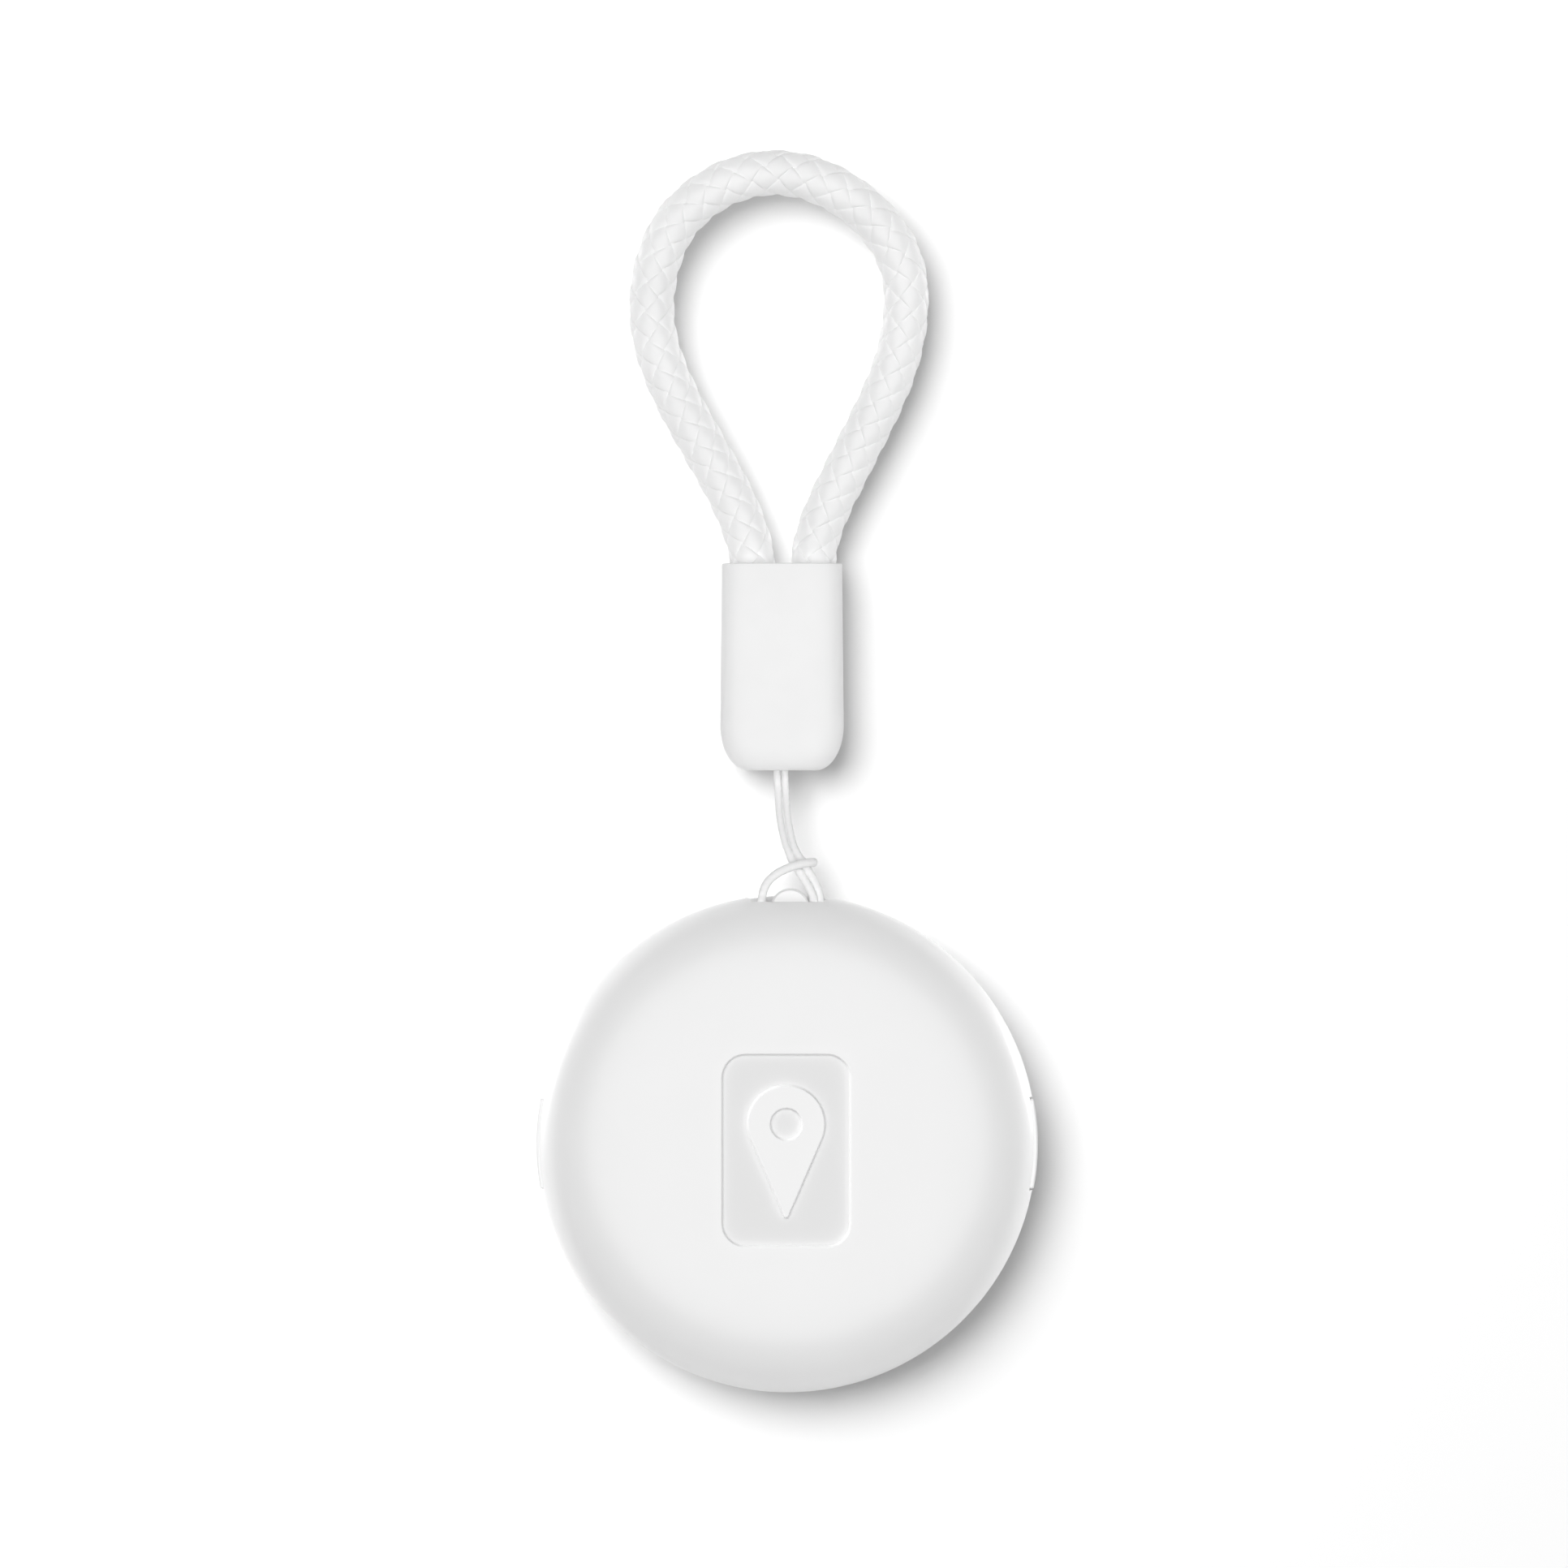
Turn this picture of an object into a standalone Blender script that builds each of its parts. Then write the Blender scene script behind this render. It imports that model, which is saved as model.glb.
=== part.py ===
"""Round Bluetooth tracker tag with a hitched string, a moulded sleeve and a braided hand loop.

Metres, +Z up. The tag lies on its rear face with its front up. The origin is on the case's axis, on the
plane that the rear face rests on. +Y runs from the case to the loop, and the side button is at +X.
"""

import math

import bmesh
import bpy
from mathutils import Matrix, Vector

MM = 0.001
GAP = 0.05 * MM          # running gap between pieces that touch
SEAT = 0.02 * MM         # what a joined shape stays inside a face, so that the two faces don't coincide

# Case
CASE_RADIUS = 20.0 * MM
CASE_HEIGHT = 9.0 * MM
WALL = 1.2 * MM
REAR_RIM_Z = 4.1 * MM
FRONT_RIM_Z = 4.3 * MM
FLAT_RADIUS = 14.0 * MM   # of the rear face
DOME_POWER = 3.0          # a dome flatter in the middle than an ellipse
SKIRT_INNER = 17.8 * MM
SKIRT_OUTER = 18.5 * MM
SKIRT_BOTTOM = 3.4 * MM
CASE_STEPS = 60

# Sunk panel on the front, with a map pin left standing in it
PANEL_SIZE = (10.2 * MM, 15.3 * MM)
PANEL_CENTRE = (-0.1 * MM, -0.4 * MM)
PANEL_CORNER = 1.85 * MM
PANEL_DEPTH = 0.3 * MM
PIN_RADIUS = 3.1 * MM
PIN_EYE_RADIUS = 1.25 * MM
PIN_HEAD_Y = 1.7 * MM
PIN_TIP_Y = -6.1 * MM

# String pocket at the top of the case
PILLAR_CENTRE = (0.2 * MM, 18.9 * MM)
PILLAR_RADIUS = 1.55 * MM
PILLAR_TOP = 5.15 * MM
POCKET_RADIUS = 3.1 * MM
POCKET_FLOOR = 3.2 * MM
POCKET_ROOF = 5.25 * MM
POCKET_BLOCK_RADIUS = 3.9 * MM
NOTCH_Y = 19.4 * MM
NOTCH_HALF = 2.85 * MM
NOTCH_SLANT = 1.05            # how far each side of the notch opens for its depth

# Side button at +X and thumb lip at -X
BUTTON_LENGTH = 7.2 * MM
BUTTON_BOTTOM = 3.1 * MM
BUTTON_TOP = 5.3 * MM
BUTTON_FACE = 20.08 * MM
FLANGE_LENGTH = 8.6 * MM
FLANGE_X = (17.2 * MM, 17.85 * MM)
FLANGE_Z = (3.45 * MM, 4.75 * MM)
BUTTON_GAP = 0.15 * MM
BUTTON_TRAVEL = 0.35 * MM
FLANGE_ROOM = 0.3 * MM            # round the flange, on every side
LIP_RADIUS = 20.15 * MM
LIP_LENGTH = 7.2 * MM
LIP_TOP = 5.1 * MM

# Circuit board
BOARD_RADIUS = 17.0 * MM
BOARD_Z = (2.3 * MM, 3.1 * MM)
BOARD_FLAT_Y = 14.6 * MM
BOARD_HOLE_RADIUS = 0.75 * MM
PART_Z = BOARD_Z[1] + GAP     # where the parts on the board stand
BOSS_CENTRES = ((8.5 * MM, 12.8 * MM), (-13.2 * MM, 7.6 * MM), (1.5 * MM, -15.2 * MM))
BOSS_RADIUS = 1.7 * MM
SCREW_RADIUS = 0.5 * MM
SCREW_HEAD_RADIUS = 1.2 * MM
SCREW_HEAD_HEIGHT = 0.7 * MM
SCREW_TIP_Z = 0.95 * MM
SCREW_HOLE_RADIUS = 0.62 * MM
SCREW_HOLE_FLOOR = 0.75 * MM

# Coin cell, 20 x 3.2 mm, in its holder
CELL_CENTRE = (-3.0 * MM, -2.0 * MM)
CELL_RADIUS = 10.0 * MM
CELL_Z = (3.45 * MM, 6.65 * MM)
CAP_RADIUS = 8.8 * MM
CAP_HEIGHT = 1.9 * MM
CAN_WALL = 0.25 * MM
GASKET_TOP = 2.4 * MM         # above the cell's underside
HOLDER_OPENING = 9.2 * MM     # radius of the hole in the holder's floor
HOLDER_FLOOR = 0.25 * MM
HOLDER_INNER = 10.25 * MM
HOLDER_OUTER = 11.3 * MM
HOLDER_TOP = 5.6 * MM
HOLDER_GAPS = ((0.0, 5.0 * MM), (math.pi, 9.0 * MM))   # angle and width of the gaps in its wall
CLIP_WIDTH = 4.0 * MM
CLIP_SHEET = 0.25 * MM
SPRING_WIDTH = 3.0 * MM
SPRING_SHEET = 0.12 * MM

# Side-push switch on the board
SWITCH_X = (13.4 * MM, 16.4 * MM)
SWITCH_LENGTH = 6.0 * MM
SWITCH_HEIGHT = 1.7 * MM
SWITCH_POCKET_X = 14.7 * MM
PLUNGER_X = 15.3 * MM
PLUNGER_SIZE = (2.0 * MM, 0.8 * MM)   # width and height
FRAME_SHEET = 0.12 * MM

# Parts on the board: place, size, turn in degrees. All stand on the board.
CHIP_EDGE = 0.06 * MM
BOARD_PARTS = (
    ("radio_chip", (11.0, 6.4), (5.0, 5.0, 0.85), 0, "black"),
    ("main_crystal", (4.0, 12.1), (2.5, 2.0, 0.6), 0, "steel"),
    ("clock_crystal", (12.2, -6.9), (1.5, 3.2, 0.8), 25, "steel"),
    ("chip_antenna", (-6.2, 12.2), (7.0, 2.0, 0.9), 18, "ceramic"),
    ("status_led", (0.4, 12.3), (1.6, 0.8, 0.6), 0, "inner"),
    ("power_inductor", (9.7, -9.9), (3.0, 3.0, 1.5), -45, "black"),
    ("bulk_capacitor", (6.0, -12.9), (3.5, 2.8, 1.9), 25, "tan"),
    ("capacitor_1", (11.7, 1.9), (1.6, 0.8, 0.8), 0, "tan"),
    ("capacitor_2", (11.7, 0.3), (1.6, 0.8, 0.8), 0, "tan"),
    ("capacitor_3", (11.7, -1.3), (1.6, 0.8, 0.8), 0, "tan"),
    ("capacitor_4", (11.7, -2.9), (1.6, 0.8, 0.8), 0, "tan"),
    ("capacitor_5", (6.9, 10.1), (1.6, 0.8, 0.8), 90, "tan"),
    ("capacitor_6", (12.6, 10.4), (1.6, 0.8, 0.8), 40, "tan"),
)

# Sounder on the rear floor
PIEZO_CENTRE = (-1.0 * MM, -1.5 * MM)
PIEZO_PLATE_RADIUS = 10.5 * MM
PIEZO_PLATE_Z = WALL + 0.18 * MM
PIEZO_PLATE_SHEET = 0.2 * MM
PIEZO_CERAMIC_RADIUS = 7.2 * MM
PIEZO_CERAMIC_Z = WALL + 0.42 * MM
PIEZO_CERAMIC_SHEET = 0.22 * MM
ADHESIVE_WIDTH = 1.5 * MM
CONTACT_SHEET = 0.1 * MM
CONTACT_WIDTH = 1.2 * MM
CONTACT_PLACES = (3.5 * MM, 8.9 * MM)   # how far the two spring contacts are from the sounder's middle
SOUND_HOLE_RADIUS = 0.45 * MM
SOUND_HOLE_RING = 6.0 * MM
SOUND_HOLE_COUNT = 5
SOUND_HOLE_STEP = math.radians(15)

# Sleeve and what is in it
SLEEVE_CENTRE = (-0.45 * MM, 2.7 * MM)       # x, z
SLEEVE_Y = (29.95 * MM, 46.58 * MM)
SLEEVE_HALF_WIDTH = (5.02 * MM, 4.85 * MM)   # at the string end and at the braid end
SLEEVE_HALF_DEPTH = 2.7 * MM
SLEEVE_CORNER = (2.3 * MM, 3.7 * MM)         # rounding at the string end, across and along
SLEEVE_CAVITY = (4.42 * MM, 2.08 * MM)
SLEEVE_FLOOR_Y = 32.2 * MM
SLEEVE_SQUARENESS = 4.0                      # exponent of the section's superellipse
SLEEVE_DROP = 1.1 * MM                       # how much thinner its string end is, on each side
STRING_HOLE_CENTRE = (-0.52 * MM, 31.45 * MM)
STRING_HOLE_SIZE = (1.7 * MM, 5.0 * MM, 1.0 * MM)
STRING_HOLE_LOW = 2.2 * MM
COLLAR_Y = (38.0 * MM, 41.5 * MM)
COLLAR_SHEET = 0.12 * MM
COLLAR_GAP = 0.04 * MM                       # to the sleeve's cavity
KNOT_CENTRE = (-0.5 * MM, 33.9 * MM, 2.7 * MM)
KNOT_SIZE = (1.35 * MM, 1.25 * MM, 1.2 * MM)

# String: its own diameter, and the middle lines of its stretches
STRING_DIAMETER = 0.59 * MM
STRING_SIDE = 0.31 * MM                      # half the spacing of two strands side by side
FOLD_PIVOT = (0.44 * MM, 23.2 * MM, 4.04 * MM)
HITCH_SPACING = 0.62 * MM                    # between the points of each modelled cord
LEAD_SPACING = 1.0 * MM
BRAID_SPACING = 2.6 * MM
LEAD_ROUTE = [
    (-0.50, 31.60, 2.70),
    (-0.53, 29.95, 2.72),
    (-0.43, 27.90, 3.08),
    (-0.28, 25.98, 3.50),
    (0.11, 24.15, 3.88),
    (0.37, 23.50, 4.00),
]
HITCH_ROUTE = [
    (0.40, 22.68, 4.10),
    (0.76, 22.12, 4.12),
    (1.28, 21.30, 4.22),
    (1.80, 20.40, 4.30),
    (2.08, 19.40, 4.38),
    (1.95, 18.00, 4.46),
    (1.10, 17.00, 4.52),
    (0.10, 16.72, 4.54),
    (-0.95, 17.05, 4.56),
    (-1.80, 17.95, 4.58),
    (-2.04, 19.00, 4.61),
    (-2.00, 20.00, 4.66),
    (-1.66, 20.88, 4.74),
    (-1.05, 21.50, 4.80),
    (-0.35, 21.92, 4.84),
    (0.60, 22.30, 4.86),
    (1.40, 22.50, 4.80),
    (1.93, 22.56, 4.55),
    (2.09, 22.56, 4.12),
    (1.93, 22.56, 3.69),
    (1.40, 22.50, 3.44),
    (0.60, 22.30, 3.38),
    (-0.35, 21.92, 3.40),
    (-1.05, 21.50, 3.46),
    (-1.66, 20.88, 3.58),
    (-2.00, 20.00, 3.72),
    (-2.04, 19.00, 3.82),
    (-1.80, 17.95, 3.88),
    (-0.95, 17.05, 3.88),
    (0.10, 16.72, 3.88),
    (1.30, 16.96, 3.88),
    (2.24, 17.82, 3.89),
    (2.58, 18.90, 3.92),
    (2.60, 19.60, 3.96),
    (2.44, 20.40, 4.00),
    (2.10, 21.15, 4.04),
    (1.62, 21.95, 4.09),
    (1.16, 22.70, 4.12),
    (0.98, 22.92, 4.10),
]

# Braid: its diameter, and the middle line of the loop
BRAID_DIAMETER = 3.44 * MM
BRAID_ROUTE = [
    (-2.60, 36.50, 2.70),
    (-2.62, 40.00, 2.70),
    (-2.66, 43.60, 2.70),
    (-2.80, 46.60, 2.70),
    (-3.20, 48.60, 2.71),
    (-4.08, 51.00, 2.73),
    (-5.32, 53.50, 2.77),
    (-6.90, 56.30, 2.81),
    (-8.52, 59.20, 2.86),
    (-9.82, 62.00, 2.92),
    (-10.66, 64.70, 3.00),
    (-10.92, 67.50, 3.08),
    (-10.48, 70.60, 3.21),
    (-9.32, 73.40, 3.33),
    (-7.64, 75.40, 3.44),
    (-5.40, 76.95, 3.54),
    (-3.00, 77.78, 3.59),
    (-0.72, 77.98, 3.60),
    (1.90, 77.52, 3.57),
    (4.60, 76.22, 3.49),
    (7.05, 74.20, 3.37),
    (8.66, 71.90, 3.27),
    (9.40, 69.60, 3.17),
    (9.52, 67.10, 3.07),
    (9.20, 64.60, 3.00),
    (8.48, 62.00, 2.92),
    (7.30, 59.20, 2.86),
    (5.86, 56.30, 2.81),
    (4.50, 53.60, 2.77),
    (3.32, 51.20, 2.74),
    (2.44, 48.80, 2.71),
    (2.08, 46.60, 2.70),
    (1.94, 43.60, 2.70),
    (1.90, 40.00, 2.70),
    (1.88, 36.50, 2.70),
]


# ---------------------------------------------------------------- helpers

def clear_scene():
    for obj in list(bpy.data.objects):
        bpy.data.objects.remove(obj, do_unlink=True)


def material(name, colour, roughness, metallic=0.0):
    """A Principled material of one colour."""
    made = bpy.data.materials.get(name) or bpy.data.materials.new(name)
    made.use_nodes = True
    shader = made.node_tree.nodes["Principled BSDF"]
    shader.inputs["Base Color"].default_value = (*colour, 1.0)
    shader.inputs["Roughness"].default_value = roughness
    shader.inputs["Metallic"].default_value = metallic
    made.diffuse_color = (*colour, 1.0)
    return made


def object_from(bm, name, look=None, smooth=False):
    """An object of the bmesh, with its faces turned outwards."""
    bmesh.ops.recalc_face_normals(bm, faces=bm.faces)
    mesh = bpy.data.meshes.new(name)
    bm.to_mesh(mesh)
    bm.free()
    if smooth:
        mesh.shade_smooth()
        mesh.set_sharp_from_angle(angle=math.radians(35))
    obj = bpy.data.objects.new(name, mesh)
    bpy.context.scene.collection.objects.link(obj)
    if look:
        mesh.materials.append(look)
    return obj


def turned(name, profile, look=None, steps=40, centre=(0.0, 0.0)):
    """A closed (radius, z) profile spun round a vertical axis."""
    bm = bmesh.new()
    verts = [bm.verts.new((radius, 0.0, z)) for radius, z in profile]
    edges = [bm.edges.new((a, b)) for a, b in zip(verts, verts[1:] + verts[:1]) if a.co.x or b.co.x]
    bmesh.ops.spin(
        bm, geom=verts + edges, axis=(0, 0, 1), cent=(0, 0, 0), steps=steps, angle=math.tau, use_merge=True
    )
    bmesh.ops.remove_doubles(bm, verts=bm.verts, dist=1e-6)
    bmesh.ops.translate(bm, verts=bm.verts, vec=(*centre, 0.0))
    return object_from(bm, name, look, smooth=True)


def prism(name, outline, low, high, look=None, smooth=False):
    """A flat (x, y) outline raised from z = low to z = high."""
    bm = bmesh.new()
    base = bm.faces.new([bm.verts.new((x, y, low)) for x, y in outline])
    risen = bmesh.ops.extrude_face_region(bm, geom=[base])["geom"]
    tops = [item for item in risen if isinstance(item, bmesh.types.BMVert)]
    bmesh.ops.translate(bm, verts=tops, vec=(0, 0, high - low))
    return object_from(bm, name, look, smooth)


def strip(name, profile, width, look, centre, angle=0.0):
    """A sheet-metal piece: a (distance, z) outline across its bends, as wide as width, turned about +Z."""
    bm = bmesh.new()
    base = bm.faces.new([bm.verts.new((u, -width / 2, z)) for u, z in profile])
    risen = bmesh.ops.extrude_face_region(bm, geom=[base])["geom"]
    sides = [item for item in risen if isinstance(item, bmesh.types.BMVert)]
    bmesh.ops.translate(bm, verts=sides, vec=(0, width, 0))
    bmesh.ops.rotate(bm, verts=bm.verts, cent=(0, 0, 0), matrix=Matrix.Rotation(angle, 3, "Z"))
    bmesh.ops.translate(bm, verts=bm.verts, vec=(*centre, 0.0))
    return object_from(bm, name, look)


def block(name, centre, size, low, look=None, bevel=0.0, angle=0.0):
    """A box standing on z = low, its edges bevelled."""
    bm = bmesh.new()
    bmesh.ops.create_cube(bm, size=1.0)
    bmesh.ops.scale(bm, verts=bm.verts, vec=size)
    if bevel:
        bmesh.ops.bevel(bm, geom=bm.edges[:], offset=bevel, segments=1, affect="EDGES")
    bmesh.ops.rotate(bm, verts=bm.verts, cent=(0, 0, 0), matrix=Matrix.Rotation(angle, 3, "Z"))
    bmesh.ops.translate(bm, verts=bm.verts, vec=(*centre, low + size[2] / 2))
    return object_from(bm, name, look)


def rod(name, centre, radius, low, high, steps=24, look=None):
    return turned(name, [(0, low), (radius, low), (radius, high), (0, high)], look, steps, centre)


def arc(centre, radius, start, end, steps):
    """Points along an arc, both ends included."""
    turn = (end - start) / steps
    return [
        (centre[0] + radius * math.cos(start + i * turn), centre[1] + radius * math.sin(start + i * turn))
        for i in range(steps + 1)
    ]


def rounded_rectangle(centre, size, corner, steps=5):
    half_x = size[0] / 2 - corner
    half_y = size[1] / 2 - corner
    outline = []
    for quarter, (sx, sy) in enumerate(((1, 1), (-1, 1), (-1, -1), (1, -1))):
        middle = (centre[0] + sx * half_x, centre[1] + sy * half_y)
        start = quarter * math.pi / 2
        outline += arc(middle, corner, start, start + math.pi / 2, steps)
    return outline


def ring_sector(inner, outer, half_length, angle, steps):
    """The part of a ring round the case's axis that is within half_length of the line at angle."""
    spread_out = math.asin(half_length / outer)
    spread_in = math.asin(half_length / inner)
    outline = arc((0, 0), outer, angle - spread_out, angle + spread_out, steps)
    return outline + arc((0, 0), inner, angle + spread_in, angle - spread_in, steps)


def boolean(target, tool, operation="DIFFERENCE", solver="EXACT"):
    """Cuts, joins or intersects target with tool, which then stays as a hidden guide."""
    modifier = target.modifiers.new(tool.name, "BOOLEAN")
    modifier.operation = operation
    modifier.object = tool
    modifier.solver = solver
    tool.hide_render = True
    tool.display_type = "WIRE"


def smooth_line(points, spacing):
    """Points spacing apart along a Catmull-Rom curve through the given millimetre points."""
    knots = [Vector(p) * MM for p in points]
    knots = [2 * knots[0] - knots[1], *knots, 2 * knots[-1] - knots[-2]]
    fine = []
    for a, b, c, d in zip(knots, knots[1:], knots[2:], knots[3:]):
        for step in range(20):
            t = step / 20
            fine.append(
                0.5 * (2 * b + (c - a) * t + (2 * a - 5 * b + 4 * c - d) * t ** 2
                       + (3 * b - a - 3 * c + d) * t ** 3)
            )
    fine.append(knots[-2])
    lengths = [0.0]
    for a, b in zip(fine, fine[1:]):
        lengths.append(lengths[-1] + (b - a).length)
    count = max(2, round(lengths[-1] / spacing))
    line = []
    index = 0
    for step in range(count + 1):
        wanted = lengths[-1] * step / count
        while index < len(fine) - 2 and lengths[index + 1] < wanted:
            index += 1
        share = (wanted - lengths[index]) / max(lengths[index + 1] - lengths[index], 1e-12)
        line.append(fine[index].lerp(fine[index + 1], min(share, 1.0)))
    return line


def tube(name, line, diameter, look):
    """A cord along a line: a POLY spline with a round bevel and closed ends."""
    curve = bpy.data.curves.new(name, "CURVE")
    curve.dimensions = "3D"
    curve.bevel_depth = diameter / 2
    curve.bevel_resolution = 2
    curve.use_fill_caps = True
    spline = curve.splines.new("POLY")
    spline.points.add(len(line) - 1)
    for point, place in zip(spline.points, line):
        point.co = (*place, 1.0)
    curve.materials.append(look)
    obj = bpy.data.objects.new(name, curve)
    bpy.context.scene.collection.objects.link(obj)
    return obj


# ---------------------------------------------------------------- looks

def make_looks():
    return {
        "shell": material("white_shell", (0.86, 0.86, 0.86), 0.42),
        "inner": material("white_inner", (0.78, 0.78, 0.77), 0.5),
        "string": material("white_string", (0.86, 0.86, 0.85), 0.55),
        "braid": material("white_braid", (0.86, 0.86, 0.85), 0.5),
        "board": material("board_green", (0.03, 0.16, 0.09), 0.4),
        "black": material("black_moulding", (0.02, 0.02, 0.02), 0.5),
        "steel": material("steel", (0.6, 0.6, 0.6), 0.3, 1.0),
        "brass": material("brass", (0.72, 0.52, 0.2), 0.35, 1.0),
        "ceramic": material("ceramic", (0.75, 0.72, 0.66), 0.6),
        "tan": material("capacitor_tan", (0.42, 0.29, 0.17), 0.5),
        "core": material("electrode_grey", (0.09, 0.09, 0.09), 0.8),
    }


# ---------------------------------------------------------------- case

def dome_profile(rim_radius, height, rim_z, points):
    """(radius, z) down a dome from its middle to its rim, closer together towards the rim."""
    profile = []
    for i in range(points + 1):
        share = math.sin(math.pi / 2 * i / points)
        profile.append((rim_radius * share, rim_z + height * math.sqrt(1 - share ** DOME_POWER)))
    return profile


def dish_profile(flat_radius, floor_z, rim_radius, rim_z, points):
    """(radius, z) up a dish from the edge of its flat floor to its rim, a quarter ellipse."""
    profile = []
    for i in range(points + 1):
        angle = math.pi / 2 * i / points
        radius = flat_radius + (rim_radius - flat_radius) * math.sin(angle)
        profile.append((radius, rim_z - (rim_z - floor_z) * math.cos(angle)))
    return profile


def pin_outline():
    """A map pin: a round head, and straight sides tangent to it that meet at the tip."""
    head = (PANEL_CENTRE[0], PIN_HEAD_Y)
    reach = PIN_HEAD_Y - PIN_TIP_Y
    side = math.asin(PIN_RADIUS / reach)
    outline = arc(head, PIN_RADIUS, -side, math.pi + side, 20)
    outline.append((PANEL_CENTRE[0], PIN_TIP_Y))
    return outline


def panel_tool():
    """What the sunk panel takes away: its outline down to a dome PANEL_DEPTH lower, less the pin."""
    outline = rounded_rectangle(PANEL_CENTRE, PANEL_SIZE, PANEL_CORNER)
    tool = prism("panel_tool", outline, CASE_HEIGHT - 2 * MM, CASE_HEIGHT + 2 * MM)
    profile = dome_profile(CASE_RADIUS, CASE_HEIGHT - FRONT_RIM_Z, FRONT_RIM_Z - PANEL_DEPTH, 10)
    floor = turned("panel_floor", profile + [(0, FRONT_RIM_Z - PANEL_DEPTH)], steps=CASE_STEPS)
    boolean(tool, floor)
    pin = prism("panel_pin", pin_outline(), CASE_HEIGHT - 3 * MM, CASE_HEIGHT + 3 * MM)
    eye = rod("panel_pin_eye", (PANEL_CENTRE[0], PIN_HEAD_Y), PIN_EYE_RADIUS, 0, 2 * CASE_HEIGHT, steps=20)
    boolean(pin, eye)
    boolean(tool, pin)
    return tool


def make_front_cover(look):
    outer = dome_profile(CASE_RADIUS, CASE_HEIGHT - FRONT_RIM_Z, FRONT_RIM_Z, 10)
    inner = dome_profile(CASE_RADIUS - WALL, CASE_HEIGHT - WALL - FRONT_RIM_Z, FRONT_RIM_Z, 8)
    over_skirt = [point for point in inner if point[0] < SKIRT_INNER]
    profile = outer + [(SKIRT_OUTER, FRONT_RIM_Z), (SKIRT_OUTER, SKIRT_BOTTOM), (SKIRT_INNER, SKIRT_BOTTOM)]
    cover = turned("front_cover", profile + over_skirt[::-1], look, CASE_STEPS)

    # Thicker over the string pocket, and clear of it below the rim.
    solid = rod(
        "pocket_block_front", PILLAR_CENTRE, POCKET_BLOCK_RADIUS, FRONT_RIM_Z + SEAT, CASE_HEIGHT, steps=32
    )
    half = WALL / 2
    filled = dome_profile(CASE_RADIUS - half, CASE_HEIGHT - half - FRONT_RIM_Z, FRONT_RIM_Z, 10)
    boolean(solid, turned("dome_solid", filled + [(0, FRONT_RIM_Z)], steps=CASE_STEPS), "INTERSECT")
    boolean(cover, solid, "UNION")
    clearance = 0.3 * MM
    clear = rod(
        "skirt_gap", PILLAR_CENTRE, POCKET_BLOCK_RADIUS + clearance, 0, FRONT_RIM_Z - SEAT, steps=32
    )
    boolean(cover, clear)
    pocket = rod("pocket_front", PILLAR_CENTRE, POCKET_RADIUS, 0, POCKET_ROOF, steps=32)
    boolean(cover, pocket)
    boolean(cover, notch_tool("notch_front", 0, CASE_HEIGHT), solver="MANIFOLD")

    # Thumb lip, button opening and sunk panel. EXACT leaves open edges on these.
    lip = ring_sector(CASE_RADIUS - WALL / 2, LIP_RADIUS, LIP_LENGTH / 2, math.pi, 12)
    boolean(cover, prism("thumb_lip", lip, FRONT_RIM_Z + SEAT, LIP_TOP), "UNION", "MANIFOLD")
    boolean(cover, button_opening("button_opening_front"), solver="MANIFOLD")
    boolean(cover, panel_tool(), solver="MANIFOLD")
    return cover


def notch_tool(name, low, high):
    """The notch at the case's top, straight across and flaring outwards."""
    far_y = CASE_RADIUS + MM
    flare = NOTCH_HALF + NOTCH_SLANT * (far_y - NOTCH_Y)
    return prism(
        name, [(-NOTCH_HALF, NOTCH_Y), (NOTCH_HALF, NOTCH_Y), (flare, far_y), (-flare, far_y)], low, high
    )


def button_opening(name):
    """The space round the side button and its flange, as far as the button travels."""
    inside = FLANGE_X[0] - BUTTON_TRAVEL - FLANGE_ROOM
    depth = CASE_RADIUS + MM - inside
    centre = (inside + depth / 2, 0.0)
    opening = block(
        name, centre, (depth, BUTTON_LENGTH + 2 * BUTTON_GAP, BUTTON_TOP - BUTTON_BOTTOM + 2 * BUTTON_GAP),
        BUTTON_BOTTOM - BUTTON_GAP,
    )
    flange_out = FLANGE_X[1] + FLANGE_ROOM
    room = block(
        name + "_flange", ((inside + flange_out) / 2, 0.0),
        (flange_out - inside, FLANGE_LENGTH + 2 * FLANGE_ROOM, FLANGE_Z[1] - SKIRT_BOTTOM + 2 * FLANGE_ROOM),
        SKIRT_BOTTOM - FLANGE_ROOM,
    )
    boolean(opening, room, "UNION")
    return opening


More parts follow.
